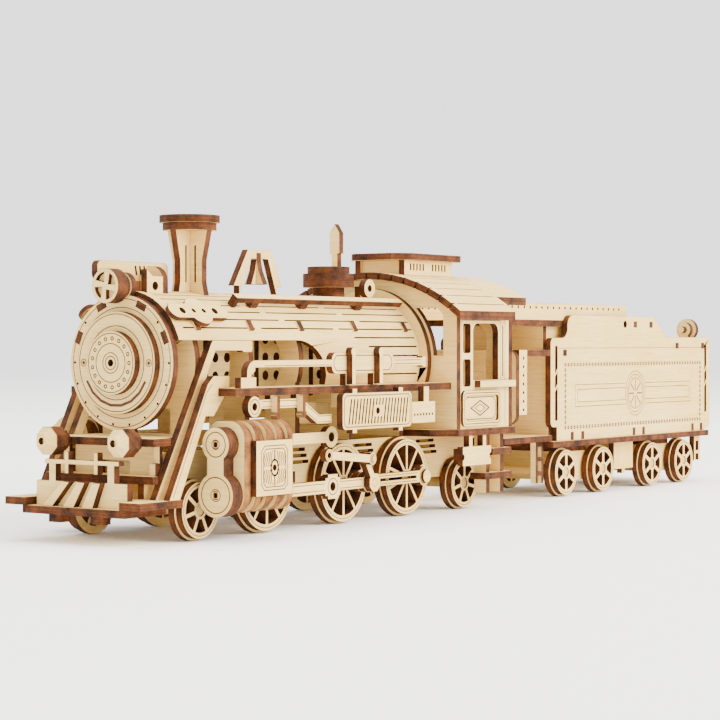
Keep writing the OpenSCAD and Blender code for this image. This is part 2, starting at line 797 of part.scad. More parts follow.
// Panels with slanting louvres hanging below the boards
module grille_panels() placed() color(pale_wood) both_sides() {
  plate_xz(-panel_y - sheet) difference() {
    union() {
      round_2d(45.4, board_low - 9.8, 78.4, board_low, 1.4);
      for (x = [51, 73]) box_2d(x - 1, board_low - 10.8, x + 1, board_low - 9);
      for (x = [51, 73]) box_2d(x - 1, board_low - 1, x + 1, board_low + 1.2);
    }
    for (i = [0:18])
      if (i < 8 || i > 10)
        translate([48 + i * 1.5, board_low - 8.4]) polygon([[0, 0], [0.55, 0], [1.75, 6.8], [1.2, 6.8]]);
    for (i = [8:10])
      for (z = [0, 5])
        translate([48 + i * 1.5 + z * 0.18, board_low - 8.4 + z])
          polygon([[0, 0], [0.55, 0], [0.85, 1.8], [0.3, 1.8]]);
    translate([61.9, board_low - 5]) circle(0.9);
  }
  plate_xz(-panel_y - sheet) difference() {
    union() {
      box_2d(78.6, board_low - 9, 90.4, board_low - 3);
      box_2d(84.6, board_low - 3.4, 87.2, board_low + 1.2);
    }
    for (i = [0:6]) translate([80 + i * 1.5, board_low - 6.6]) circle(0.35, $fn = 16);
  }
  for (x = [50, 72, 84.9]) plate_yz(x) box_2d(-panel_y, board_low - 4, 4 - board_half_w, board_low);
}

tank_y = 26;
// Air tank with its pipe, strapped on top of each board
module air_tanks() placed() color(pale_wood) both_sides() {
  plate_xz(-tank_y - sheet) {
    round_2d(45.2, 41.7, 74.4, 47.4, 2);
    box_2d(12, 43.7, 46, 45.5);
    difference() {
      translate([12, 42.2]) circle(3.3);
      translate([13, 41]) circle(2.1);
      box_2d(12, 30, 20, 43.7);
      box_2d(5, 36, 20, 42);
    }
    box_2d(8.7, board_z, 10.5, 42.2);
    box_2d(6.2, board_z, 12.4, 41.2);
    box_2d(74, 43.6, 90.6, 45.8);
    box_2d(89, 43.2, 90.8, 46.2);
    for (x = [52.6, 65.6]) box_2d(x - 1.1, board_z, x + 1.1, 44);
  }
  for (x = [52.6, 65.6])
    plate_xz(-tank_y - 2 * sheet, sheet) {
      box_2d(x - 0.8, board_z + 0.3, x + 0.8, 47.6);
      translate([x, 47.6]) circle(1.2);
    }
}

// Feed pipes with their hangers below each board
module feed_pipes() placed() color(pale_wood) both_sides() {
  plate_xz(-tank_y - sheet) {
    difference() {
      translate([11.8, board_low - 2.8]) circle(2.7);
      translate([11.8, board_low - 2.8]) circle(1);
    }
    box_2d(14, 33.1, 31, 35.5);
    polygon([[30.6, 33.1], [31, 35.5], [31.6, 35.5], [39.4, 31], [45, 31], [45, 28.6], [38.6, 28.6]]);
    for (x = [19.2, 30.2]) box_2d(x - 0.8, 34, x + 0.8, board_low);
  }
  for (x = [19.2, 30.2])
    plate_xz(-tank_y - 2 * sheet, sheet) {
      box_2d(x - 0.6, 31.6, x + 0.6, board_low - 0.2);
      translate([x, 31.4]) circle(0.95);
    }
}

// ---- Cylinders ----

// Outline of one rib: a tall rounded block, seen from the front
module rib_2d(grow) {
  round_2d(-cyl_out - grow, 7.2 - grow, -cyl_in, 30.4 + grow, 4.4);
}

module cylinder_blocks() placed() color(burnt_wood) both_sides() difference() {
  for (i = [0:cyl_ribs - 1])
    plate_yz(sheet + i * (cyl_len - sheet) / cyl_ribs, (cyl_len - sheet) / cyl_ribs)
      rib_2d(i % 2 == 0 ? 0 : -0.8);
  cover_pocket();
  translate([cyl_len - 18, -cross_y - sheet - 0.15, driver_z - 1.85]) cube([30, sheet + 0.3, 3.7]);
}

cover_x = 5.6;
cover_w = 15;
cover_z = 11.4;
cover_h = 14;
module cover_pocket() translate([cover_x, -cyl_out - 2, cover_z]) cube([cover_w, sheet + 1, cover_h]);

module cylinder_covers() placed() color(pale_wood) both_sides()
  plate_xz(-cyl_out - 1) difference() {
    box_2d(cover_x, cover_z, cover_x + cover_w, cover_z + cover_h);
    translate([cover_x + cover_w / 2, cover_z + cover_h / 2]) circle(0.8);
  }

// Two-layer front caps and the rear valve rods
module cylinder_ends() placed() both_sides() {
  color(pale_wood) for (i = [0:1])
    plate_yz(-i * sheet) difference() {
      union() {
        translate([-cyl_mid, cyl_top_z]) circle(4.3);
        translate([-cyl_mid, cyl_low_z]) circle(5.6);
        box_2d(-cyl_mid - 2.6, cyl_low_z, -cyl_mid + 2.6, cyl_top_z);
      }
      if (i == 1) {
        translate([-cyl_mid, cyl_low_z]) circle(0.7);
        translate([-cyl_mid, cyl_top_z]) circle(0.7);
      }
    }
  color(pale_wood) plate_xz(-main_rod_y - sheet) difference() {
    union() {
      box_2d(cyl_len, cyl_top_z - 1.5, 47, cyl_top_z + 1.5);
      translate([49.4, cyl_top_z]) circle(2.9);
    }
    translate([49.4, cyl_top_z]) circle(1.3);
  }
}

// ---- Cab ----

module cab_floor() placed() color(burnt_wood) plate_xy(frame_top)
  polygon([[cab_x, -cab_half_w - 0.6], [cab_floor_rear_x, -cab_half_w - 0.6],
    [cab_floor_rear_x, cab_half_w + 0.6], [cab_x, cab_half_w + 0.6], [cab_x - 5, cab_half_w - 6],
    [cab_x - 5, 13], [cab_x, 13], [cab_x, -13], [cab_x - 5, -13], [cab_x - 5, -cab_half_w + 6]]);

// Everything that lies under the curved roof
module under_roof_2d(r, half) intersection() {
  translate([0, roof_c]) circle(r, $fn = 180);
  box_2d(-half, 0, half, 90);
}

module cab_window_2d() difference() {
  polygon([[12, 46.3], [25.3, 46.3], [25.3, 58.2], [23.4, 60.2], [12, 60.2]]);
  translate([0, boiler_z]) circle(22, $fn = 96);
}

module cab_front() placed() color(wood) {
  plate_yz(cab_x) difference() {
    intersection() {
      under_roof_2d(roof_in, cab_half_w);
      box_2d(-40, cab_floor_z, 40, 90);
    }
    cab_window_2d();
    mirror([1, 0]) cab_window_2d();
    translate([0, boiler_z]) circle(9);
  }
  plate_yz(cab_x - sheet) difference() {
    intersection() {
      translate([0, boiler_z]) circle(21.2, $fn = 96);
      box_2d(-40, board_z, 40, 90);
    }
    slat_polygon(boiler_r);
  }
}

module cab_sides() placed() color(pale_wood) both_sides() difference() {
  plate_xz(-cab_half_w) translate([cab_x + sheet, 0]) difference() {
    box_2d(0, cab_floor_z, cab_len, 66);
    round_2d(1.4, 37.2, 5.6, 45.2, 0.8);
    round_2d(1.4, 47, 5.6, 55.6, 0.8);
    box_2d(6.9, 39.1, 21, 52);
    round_2d(6.9, 44, 21, 55.7, 2.6);
    box_2d(23.4, 40, 23.9, 55);
  }
  difference() {
    translate([cab_x, -cab_half_w - 1, 0]) cube([60, 5, 90]);
    plate_yz(cab_x, 60) under_roof_2d(roof_in, 40);
  }
}

// Window sills and the framed blank panels under them
module cab_trim() placed() color(burnt_wood) both_sides() {
  plate_xz(-cab_half_w - sheet) translate([cab_x + sheet, 0]) box_2d(7.8, 36.9, cab_len + 1, 38.9);
  plate_xz(-cab_half_w - 0.8, 0.8) translate([cab_x + sheet, 0]) difference() {
    round_2d(0.2, 25.6, 21.4, 36, 1.6);
    round_2d(1.6, 27, 20, 34.6, 1);
  }
}

module roof_band_2d(half) difference() {
  under_roof_2d(roof_r, half);
  translate([0, roof_c]) circle(roof_in, $fn = 180);
}

// Curved roof sheet with kerfs along its length
module cab_roof() placed() color(pale_wood) difference() {
  union() {
    plate_yz(roof_front_x, cab_rear_x - 1 - roof_front_x) roof_band_2d(roof_half_w);
    plate_yz(cab_rear_x - 1, roof_rear_x - cab_rear_x + 1) roof_band_2d(roof_inner_half);
  }
  for (a = [-35:5:35])
    translate([0, 0, roof_c]) rotate([a, 0, 0]) {
      translate([roof_front_x - 1, -0.3, roof_in - 1]) cube([2.6, 0.6, sheet + 2]);
      translate([roof_front_x + 3, -0.15, roof_r - 0.4]) cube([26, 0.3, 2]);
    }
}

module cab_rear_arch() placed() color(wood) plate_yz(cab_rear_x) difference() {
  intersection() {
    under_roof_2d(roof_in, cab_half_w);
    box_2d(-40, cab_floor_z, 40, 90);
  }
  box_2d(-22, 0, 22, 52);
  intersection() {
    translate([0, 40]) circle(25, $fn = 96);
    box_2d(-22, 30, 22, 90);
  }
}

vent_x = cab_x + 4;
// Clerestory box with louvred sides under a flat board
module roof_vent() placed() color(pale_wood) {
  difference() {
    union() {
      both_sides() plate_xz(-9) difference() {
        box_2d(vent_x, roof_top_z - 3, vent_x + 26, roof_top_z + 3.8);
        for (g = [3, 15])
          for (i = [0:4]) box_2d(vent_x + g + i * 1.7, roof_top_z + 0.8, vent_x + g + 0.7 + i * 1.7, roof_top_z + 2.8);
      }
      for (x = [vent_x + 1, vent_x + 23]) plate_yz(x) box_2d(-7, roof_top_z - 3, 7, roof_top_z + 3.8);
    }
    plate_yz(vent_x - 5, 60) translate([0, roof_c]) circle(roof_r, $fn = 180);
  }
  plate_xy(roof_top_z + 3.8) polygon([
    [vent_x - 4, -7], [vent_x + 1, -11], [vent_x + 28, -11], [vent_x + 31, -8],
    [vent_x + 31, 8], [vent_x + 28, 11], [vent_x + 1, 11], [vent_x - 4, 7]]);
}

step_x = cab_rear_x - 9;
module cab_steps() placed() both_sides() {
  color(burnt_wood) {
    plate_xy(9.2) box_2d(step_x - 1, -28, step_x + 14, -22.6);
    plate_xy(16.4) box_2d(step_x + 3, -28, step_x + 14, -22.6);
  }
  color(wood) for (x = [step_x + 1, step_x + 9])
    plate_yz(x) difference() {
      box_2d(-27, 5, -22.8, frame_top);
      box_2d(-30, 9.2, -20, 9.2 + sheet);
      if (x > step_x + 2) box_2d(-30, 16.4, -20, 16.4 + sheet);
    }
}

// Injector boxes hung from the cab floor by two straps each
module injectors() placed() color(pale_wood) both_sides() {
  ix = cab_x + 3.4;
  plate_xz(-cab_half_w) {
    difference() {
      box_2d(ix, 14, ix + 15.6, 19.6);
      for (x = [ix, ix + 15.6]) translate([x, 16.6]) circle(0.9);
    }
    for (x = [ix + 3.4, ix + 11]) box_2d(x, 19, x + 1.8, frame_top);
  }
  plate_xz(sheet - cab_half_w) box_2d(ix + 1, 14.4, ix + 14.6, 19);
}

// ---- Tender ----

module tender_floor() placed() {
  color(burnt_wood) difference() {
    plate_xy(tender_floor_z - sheet)
      box_2d(tender_x - 1, -tender_half_w - 1.5, tender_rear_x - 4, tender_half_w + 1.5);
    for (x = [front_bogie_x, rear_bogie_x]) translate([x, 0, 0]) cylinder(h = 60, r = pivot_r);
  }
  color(wood) difference() {
    plate_xy(tender_floor_z) {
      box_2d(coupling_x + 3.5, -tender_half_w, wall_x, tender_half_w);
      box_2d(coupling_x, -7, coupling_x + 4, 7);
      translate([coupling_x, 0]) circle(7);
    }
    translate([coupling_x, 0, 0]) cylinder(h = 60, r = pivot_r + run_gap);
    both_sides() translate([tender_x + 1, -tender_half_w - 1, 0]) cube([10, sheet + 1, 60]);
  }
  color(stick_wood) for (x = [front_bogie_x, rear_bogie_x])
    translate([x, 0, tender_floor_z - sheet - 3.4]) cylinder(h = sheet + 3.2, r = pivot_r - glue);
}

// Outline of the side wall: low front, S-curved rise, tall middle, slope and low rear
module tender_side_2d() {
  r = 3.4;
  low = tender_floor_z;
  front_top = tender_rear_z - 0.4;
  difference() {
    union() {
      round_2d(tender_x, low + 4.5, tender_x + 8, front_top, 1.8);
      box_2d(tender_low_x, low, tender_rear_x - 4, front_top);
      round_2d(tender_rear_x - 14, low + 0.4, tender_rear_x, front_top, 3);
      box_2d(tender_rear_x - 14, low, tender_rear_x - 5, low + 6);
      box_2d(tender_rear_x - 8, front_top - 6, tender_rear_x, tender_rear_z);
      polygon([[rise_x + r, front_top - 1], [rise_x + r, tender_top_z - r], [rise_x + 2 * r, tender_top_z],
        [fall_x - 1, tender_top_z], [fall_x + 1.6, tender_top_z - 1.4], [fall_end_x, tender_rear_z],
        [tender_rear_x - 4, tender_rear_z], [tender_rear_x - 4, front_top - 1]]);
      translate([rise_x + 2 * r, tender_top_z - r]) circle(r);
      difference() {
        box_2d(rise_x, front_top - 0.2, rise_x + r + 0.2, front_top + r);
        translate([rise_x, front_top + r]) circle(r);
      }
    }
    for (s = [0, 1]) side_slots_2d(s == 0 ? tender_x + 2.8 : tender_rear_x - 4.4);
  }
}

// Tall opening near a wall's end, crossed by two slanting braces
module side_slots_2d(x) {
  low = tender_floor_z + 6.6;
  difference() {
    box_2d(x, low, x + 1.6, tender_rear_z - 3);
    for (z = [low + 8, low + 13])
      polygon([[x - 1, z], [x + 3, z + 4.4], [x + 3, z + 5.4], [x - 1, z + 1]]);
  }
}

rib_pairs = [13, 20, 56, 63, 101, 108];
function rib_at(i) = tender_x + rib_pairs[i] * tender_len / 116;
module rib_tabs_2d() for (i = [0:5]) box_2d(rib_at(i), tender_floor_z, rib_at(i) + sheet, tender_floor_z + 2.6);

function deck_tab_x() = [tender_x + 8, fall_x - 14, fall_x - 2.4];
module deck_tabs_2d() {
  box_2d(deck_tab_x()[0], deck_z, deck_tab_x()[0] + 2.4, deck_z + sheet);
  for (i = [1, 2]) box_2d(deck_tab_x()[i] - 1.2, top_deck_z, deck_tab_x()[i] + 1.2, top_deck_z + sheet);
  for (x = [fall_end_x + 7, tender_rear_x - 7]) box_2d(x, tender_rear_z - 4, x + 2.4, tender_rear_z - 4 + sheet);
}

module tender_sides() placed() color(pale_wood) both_sides() plate_xz(-tender_half_w) difference() {
  tender_side_2d();
  rib_tabs_2d();
  deck_tabs_2d();
  translate([fall_x - 21.4, top_deck_z + 1]) circle(1.2);
}

// Front and rear walls and the low cross ribs whose tabs show in the side walls
module tender_bulkheads() placed() color(wood) {
  plate_yz(wall_x) difference() {
    union() {
      box_2d(-tender_in, tender_floor_z, tender_in, deck_z);
      box_2d(-coal_half_w, deck_z, coal_half_w, top_deck_z);
    }
    box_2d(-5, tender_floor_z + 6, 5, tender_floor_z + 9);
  }
  plate_yz(tender_rear_x - 7) box_2d(-tender_in, tender_floor_z, tender_in, tender_rear_z - 4);
  for (i = [0:5])
    if (i > 0 || rib_at(0) > wall_x + sheet)
      plate_yz(rib_at(i)) {
        box_2d(-tender_in, tender_floor_z, tender_in, tender_floor_z + 8);
        box_2d(-tender_half_w, tender_floor_z, tender_half_w, tender_floor_z + 2.6);
      }
}

// Gangway roof, inner deck, coal deck, slope sheet and rear deck
module tender_decks() placed() color(burnt_wood) {
  plate_xy(deck_z) {
    box_2d(gang_x + sheet, -tender_in, wall_x, tender_in);
    box_2d(gang_x + sheet + gang_strip, -tender_half_w, tender_x - slip, tender_half_w);
    box_2d(wall_x + sheet, -tender_in, fall_x - 3, tender_in);
    box_2d(deck_tab_x()[0], -tender_half_w, deck_tab_x()[0] + 2.4, tender_half_w);
  }
  plate_xy(top_deck_z) {
    box_2d(gang_x - 1, -tender_in, fall_x - 1, tender_in);
    for (i = [1, 2]) box_2d(deck_tab_x()[i] - 1.2, -tender_half_w, deck_tab_x()[i] + 1.2, tender_half_w);
  }
  plate_xz(-tender_in, 2 * tender_in) polygon([
    [fall_x - 1 + 0.1, top_deck_z + sheet], [fall_x - 1 + 0.1, top_deck_z - 0.8],
    [fall_end_x - 0.1, tender_rear_z - 4], [fall_end_x - 0.1, tender_rear_z - 4 + sheet]]);
  plate_xy(tender_rear_z - 4) {
    box_2d(fall_end_x, -tender_in, tender_rear_x - 1, tender_in);
    for (x = [fall_end_x + 7, tender_rear_x - 7]) box_2d(x, -tender_half_w, x + 2.4, tender_half_w);
  }
}

rail_end_x = fall_x - 17;
// Inner coal walls and the pierced rails along the coal deck
module coal_boards() placed() color(pale_wood) both_sides() {
  plate_xz(-coal_half_w) box_2d(wall_x + sheet, deck_z + sheet, fall_x - 4, top_deck_z);
  plate_xz(-tender_in) difference() {
    round_2d(gang_x - 1, top_deck_z + sheet, rail_end_x, top_deck_z + sheet + 5.4, 0.6);
    for (x = [gang_x + 1:3.7:rail_end_x - 2]) translate([x, top_deck_z + sheet + 4]) circle(0.45, $fn = 16);
  }
}

gang_x = coupling_x + 10.4;
gang_strip = 4.8;
// Portal frame over the gangway and the pierced strips behind its corners
module gangway() placed() {
  color(wood) plate_yz(gang_x) difference() {
    union() {
      round_2d(-tender_half_w, tender_floor_z + 6, tender_half_w, deck_z + sheet, 3.2);
      box_2d(-12, tender_floor_z + sheet, 12, tender_floor_z + 9);
    }
    box_2d(-9, tender_floor_z, 9, deck_z - 5);
    for (s = [-1, 1]) translate([s * 16, 0]) mirror([s > 0 ? 0 : 1, 0]) difference() {
      box_2d(-1.4, tender_floor_z + 9.4, 1.4, deck_z - 2);
      for (z = [tender_floor_z + 14, tender_floor_z + 19])
        polygon([[-3, z], [3, z + 4], [3, z + 5.2], [-3, z + 1.2]]);
    }
  }
  color(pale_wood) both_sides() plate_xz(-tender_half_w) translate([gang_x + sheet, tender_floor_z + 9]) difference() {
    box_2d(0, 0, gang_strip, deck_z - tender_floor_z - 7);
    for (i = [0:6]) translate([gang_strip * 0.55, 1.6 + i * 2.7]) circle(0.45, $fn = 16);
  }
}

module ladder_2d(w, h) difference() {
  box_2d(0, -h, w, 0);
  for (z = [-h - 1:4.6:-3]) box_2d(1.3, z, w - 1.3, z + 3.4);
}

hang_x = (front_bogie_x + front_bogie_base / 2 + rear_bogie_x - rear_bogie_base / 2) / 2;
hang_half = (rear_bogie_x - rear_bogie_base / 2 - front_bogie_x - front_bogie_base / 2) / 2 - tender_axle_z - 3;
// Ladders at both ends and the hanging plate between the bogies
module tender_ladders() placed() color(pale_wood) both_sides() {
  if (hang_half > 2) plate_xz(-18) {
    box_2d(hang_x - hang_half, 7, hang_x + hang_half, tender_floor_z - sheet);
    box_2d(hang_x - 1, 5.4, hang_x + 1, 8);
  }
  plate_xz(-19) translate([tender_x - 6, tender_floor_z]) ladder_2d(7.4 - 2.6, 13.2);
  plate_xz(-19) translate([tender_rear_x - 8.6, tender_floor_z - sheet]) ladder_2d(4.8, 9);
}

// Pair of lamps on the rear deck: upright bracket, stub, small disc and large disc
module rear_lamps() placed() both_sides() translate([tender_rear_x - 9, -15, 0]) {
  lz = tender_rear_z + 2.8;
  color(pale_wood) plate_yz(0) {
    box_2d(-1.6, tender_rear_z - 4 + sheet, 1.6, lz);
    translate([0, lz]) circle(2.6);
  }
  color(burnt_wood) translate([sheet, 0, lz]) rotate([0, 90, 0]) disc(0, 3.9);
  color(burnt_wood) translate([-2.4, 0, lz]) rotate([0, 90, 0]) disc(0, 1.2, 2.4);
}

// Bogie: two side frames, a bolster and end beams
module bogie(x, base) {
  top = tender_floor_z - sheet - slip;
  half = base / 2 + 4.4;
  color(wood) both_sides() difference() {
    plate_xz(-frame_out) {
      box_2d(x - half, tender_axle_z - 1.6, x + half, tender_axle_z + 2.6);
      box_2d(x - base / 2 + 3, tender_axle_z - 3.4, x + base / 2 - 3, top - sheet);
      for (s = [-1, 1]) translate([x + s * base / 2, tender_axle_z]) circle(3.4);
    }
    for (s = [-1, 1]) bore_xz(x + s * base / 2, tender_axle_z, axle_r + run_gap);
  }
  color(burnt_wood) difference() {
    plate_xy(top - sheet) box_2d(x - base / 2 + 4, -frame_out, x + base / 2 - 4, frame_out);
    translate([x, 0, 0]) cylinder(h = 60, r = pivot_r + run_gap);
  }
  color(wood) for (dx = [-5, 5 - sheet])
    plate_yz(x + dx) box_2d(-frame_in, tender_axle_z - 3.4, frame_in, top - sheet);
}

module front_bogie() placed() bogie(front_bogie_x, front_bogie_base);

module rear_bogie() placed() bogie(rear_bogie_x, rear_bogie_base);

main_frames();
frame_stretchers();
pilot_deck();
pilot_plate();
pilot_bars();
front_decks();
marker_lamps();
front_pipes();
front_stays();
smokebox_front();
smokebox_door();
headlamp();
lamp_bracket();
boiler_formers();
boiler_shell();
shell_trim();
chimney();
bell_frame();
bell();
steam_dome();
running_boards();
grille_panels();
air_tanks();
feed_pipes();
cylinder_blocks();
cylinder_ends();
cylinder_covers();
cab_floor();
cab_front();
cab_sides();
cab_trim();
cab_roof();
cab_rear_arch();
roof_vent();
cab_steps();
injectors();
leading_wheelset();
driver_wheelset_1();
driver_wheelset_2();
driver_wheelset_3();
trailing_wheelset();
side_rods();
main_rods();
crossheads();
return_cranks();
eccentric_rods();
tender_floor();
tender_sides();
tender_bulkheads();
tender_decks();
coal_boards();
gangway();
tender_ladders();
rear_lamps();
front_bogie();
rear_bogie();
tender_wheelset_1();
tender_wheelset_2();
tender_wheelset_3();
tender_wheelset_4();
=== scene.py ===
import json
import math

import bmesh
import bpy
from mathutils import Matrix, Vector


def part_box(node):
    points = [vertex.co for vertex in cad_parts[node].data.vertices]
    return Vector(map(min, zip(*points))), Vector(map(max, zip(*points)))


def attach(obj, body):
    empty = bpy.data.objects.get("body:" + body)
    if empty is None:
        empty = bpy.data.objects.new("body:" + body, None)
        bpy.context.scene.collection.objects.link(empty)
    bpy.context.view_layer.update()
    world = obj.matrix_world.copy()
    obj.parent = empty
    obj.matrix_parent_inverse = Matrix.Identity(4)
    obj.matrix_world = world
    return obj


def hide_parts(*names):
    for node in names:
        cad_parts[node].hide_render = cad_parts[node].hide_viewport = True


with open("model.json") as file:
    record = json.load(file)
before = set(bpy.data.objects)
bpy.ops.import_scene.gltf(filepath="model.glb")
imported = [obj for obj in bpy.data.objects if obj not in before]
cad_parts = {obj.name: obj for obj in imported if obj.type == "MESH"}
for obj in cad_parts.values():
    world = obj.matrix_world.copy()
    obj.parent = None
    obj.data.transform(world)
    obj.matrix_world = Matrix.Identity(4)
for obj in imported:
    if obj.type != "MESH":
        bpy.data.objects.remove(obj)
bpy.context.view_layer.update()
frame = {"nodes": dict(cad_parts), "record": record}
mm = 0.001
bodies = frame["record"]["behaviour"]["bodies"]
nodeBody = {node: body for body, nodes in bodies.items() for node in nodes}
print("frame loaded:", len(nodeBody), "nodes")

studio = {
    "cameraAt": (-0.5338, -0.3525, 0.04987),
    "cameraTurn": 35.203,  # degrees from +X towards +Y
    "cameraTip": -0.464,
    "lens": 103.36,
    "sensor": 36,
    "clipEnd": 20,
    "floorSize": 30,
    "floorFleck": 40,
    "floorShade": 0.985,
    "floorRough": 0.9,
    "floorColor": (1.0, 1.0, 0.995, 1.0),
    "skyColor": (1.0, 1.0, 1.0, 1.0),
    "skyPower": 2.2,
    "middle": (0.0, 0.0, 0.04),
}
lamps = {
    "sideSoftbox": {"at": (0.35, -1.3, 0.75), "size": (1.2, 1.0), "power": 62.0, "color": (1.0, 0.95, 0.86)},
    "frontFill": {"at": (-1.3, -0.3, 0.45), "size": (0.9, 0.9), "power": 3.0, "color": (1.0, 0.93, 0.82)},
    "topSoftbox": {"at": (0.1, 0.2, 1.5), "size": (1.4, 1.2), "power": 24.0, "color": (1.0, 0.97, 0.90)},
}


def rgba(color):
    return (*color, 1.0)


def makeCamera():
    data = bpy.data.cameras.new("trainCamera")
    data.lens = studio["lens"]
    data.sensor_width = studio["sensor"]
    data.clip_end = studio["clipEnd"]
    camera = bpy.data.objects.new("trainCamera", data)
    turn, tip = math.radians(studio["cameraTurn"]), math.radians(studio["cameraTip"])
    look = Vector((math.cos(turn) * math.cos(tip), math.sin(turn) * math.cos(tip), math.sin(tip)))
    camera.location = studio["cameraAt"]
    camera.rotation_mode = "QUATERNION"
    camera.rotation_quaternion = look.to_track_quat("-Z", "Y")
    bpy.context.scene.collection.objects.link(camera)
    bpy.context.scene.camera = camera


def addPanelLight(name, spec):
    data = bpy.data.lights.new(name, "AREA")
    data.shape = "RECTANGLE"
    data.size, data.size_y = spec["size"]
    data.energy = spec["power"]
    data.color = spec["color"]
    lamp = bpy.data.objects.new(name, data)
    lamp.location = spec["at"]
    aim = Vector(studio["middle"]) - Vector(spec["at"])
    lamp.rotation_mode = "QUATERNION"
    lamp.rotation_quaternion = aim.to_track_quat("-Z", "Y")
    bpy.context.scene.collection.objects.link(lamp)


def makeStudio():
    world = bpy.data.worlds.new("studioSky")
    bpy.context.scene.world = world
    world.use_nodes = True
    sky = world.node_tree.nodes["Background"]
    sky.inputs["Color"].default_value = studio["skyColor"]
    sky.inputs["Strength"].default_value = studio["skyPower"]
    for name, spec in lamps.items():
        addPanelLight(name, spec)
    floorMesh = bpy.data.meshes.new("floor")
    bm = bmesh.new()
    bmesh.ops.create_grid(bm, x_segments=2, y_segments=2, size=studio["floorSize"])
    bm.to_mesh(floorMesh)
    bm.free()
    floor = bpy.data.objects.new("floor", floorMesh)
    bpy.context.scene.collection.objects.link(floor)
    paper = bpy.data.materials.new("floorPaper")
    paper.use_nodes = True
    nodes, links = paper.node_tree.nodes, paper.node_tree.links
    shader = nodes["Principled BSDF"]
    coords = nodes.new("ShaderNodeTexCoord")
    fleck = nodes.new("ShaderNodeTexNoise")
    fleck.inputs["Scale"].default_value = studio["floorFleck"]
    links.new(coords.outputs["Object"], fleck.inputs["Vector"])
    tint = nodes.new("ShaderNodeMix")
    tint.data_type = "RGBA"
    tint.inputs["A"].default_value = studio["floorColor"]
    tint.inputs["B"].default_value = rgba([c * studio["floorShade"] for c in studio["floorColor"][:3]])
    links.new(fleck.outputs["Fac"], tint.inputs["Factor"])
    links.new(tint.outputs["Result"], shader.inputs["Base Color"])
    shader.inputs["Roughness"].default_value = studio["floorRough"]
    floorMesh.materials.append(paper)


makeCamera()
makeStudio()
print("camera and studio ready")

wood = {
    "face": (0.700, 0.470, 0.135),
    "faceWarm": (0.460, 0.260, 0.060),
    "facePale": (0.800, 0.575, 0.215),
    "rim": (0.110, 0.030, 0.005),
    "edgeLight": (0.130, 0.036, 0.007),
    "edgeDark": (0.014, 0.004, 0.001),
    "edgeGlue": (0.006, 0.002, 0.001),
    "ribLight": (0.340, 0.135, 0.030),
    "ribDark": (0.085, 0.024, 0.005),
    "stick": (0.500, 0.290, 0.090),
    "engraved": (0.050, 0.014, 0.003),
}


def newGroup(name, inputs, outputs):
    group = bpy.data.node_groups.new(name, "ShaderNodeTree")
    for label, kind, start in inputs:
        socket = group.interface.new_socket(label, in_out="INPUT", socket_type=kind)
        if start is not None:
            socket.default_value = start
    for label, kind in outputs:
        group.interface.new_socket(label, in_out="OUTPUT", socket_type=kind)
    return group, group.nodes.new("NodeGroupInput"), group.nodes.new("NodeGroupOutput")


def addMath(tree, kind, a, b=None, clamp=False):
    node = tree.nodes.new("ShaderNodeMath")
    node.operation = kind
    node.use_clamp = clamp
    for socket, value in zip(node.inputs, (a, b)):
        if value is None:
            continue
        if isinstance(value, (int, float)):
            socket.default_value = value
        else:
            tree.links.new(value, socket)
    return node.outputs[0]


def addMix(tree, factor, a, b):
    node = tree.nodes.new("ShaderNodeMix")
    node.data_type = "RGBA"
    for label, value in (("Factor", factor), ("A", a), ("B", b)):
        if isinstance(value, (int, float, tuple)):
            node.inputs[label].default_value = value
        else:
            tree.links.new(value, node.inputs[label])
    return node.outputs["Result"]


def addNoise(tree, vector, scale, detail, rough=0.55):
    node = tree.nodes.new("ShaderNodeTexNoise")
    node.inputs["Scale"].default_value = scale
    node.inputs["Detail"].default_value = detail
    node.inputs["Roughness"].default_value = rough
    tree.links.new(vector, node.inputs["Vector"])
    return node.outputs["Fac"]


def addRange(tree, value, low, high, outLow=0.0, outHigh=1.0):
    node = tree.nodes.new("ShaderNodeMapRange")
    tree.links.new(value, node.inputs["Value"])
    for label, number in zip(("From Min", "From Max", "To Min", "To Max"), (low, high, outLow, outHigh)):
        node.inputs[label].default_value = number
    return node.outputs["Result"]


def makeGrainGroup():
    # vector runs along the grain in X; tone drifts slowly, streak is the fine figure
    group, start, end = newGroup(
        "sheetGrain",
        [("Vector", "NodeSocketVector", None)],
        [("Tone", "NodeSocketFloat"), ("Streak", "NodeSocketFloat"), ("Height", "NodeSocketFloat")],
    )
    vector = start.outputs["Vector"]
    stretch = group.nodes.new("ShaderNodeMapping")
    stretch.inputs["Scale"].default_value = (22, 420, 420)
    group.links.new(vector, stretch.inputs["Vector"])
    fine = group.nodes.new("ShaderNodeMapping")
    fine.inputs["Scale"].default_value = (110, 2600, 2600)
    group.links.new(vector, fine.inputs["Vector"])
    slow = addNoise(group, vector, 26, 2)
    broad = addNoise(group, stretch.outputs["Vector"], 1.0, 3)
    thin = addNoise(group, fine.outputs["Vector"], 1.0, 3, 0.6)
    slowPart = addMath(group, "MULTIPLY", slow, 0.6)
    broadPart = addMath(group, "MULTIPLY", broad, 0.4)
    tone = addRange(group, addMath(group, "ADD", slowPart, broadPart), 0.38, 0.62)
    streak = addRange(group, thin, 0.44, 0.72)
    group.links.new(tone, end.inputs["Tone"])
    group.links.new(streak, end.inputs["Streak"])
    height = addMath(group, "ADD", thin, addMath(group, "MULTIPLY", broad, 0.5))
    group.links.new(height, end.inputs["Height"])
    return group


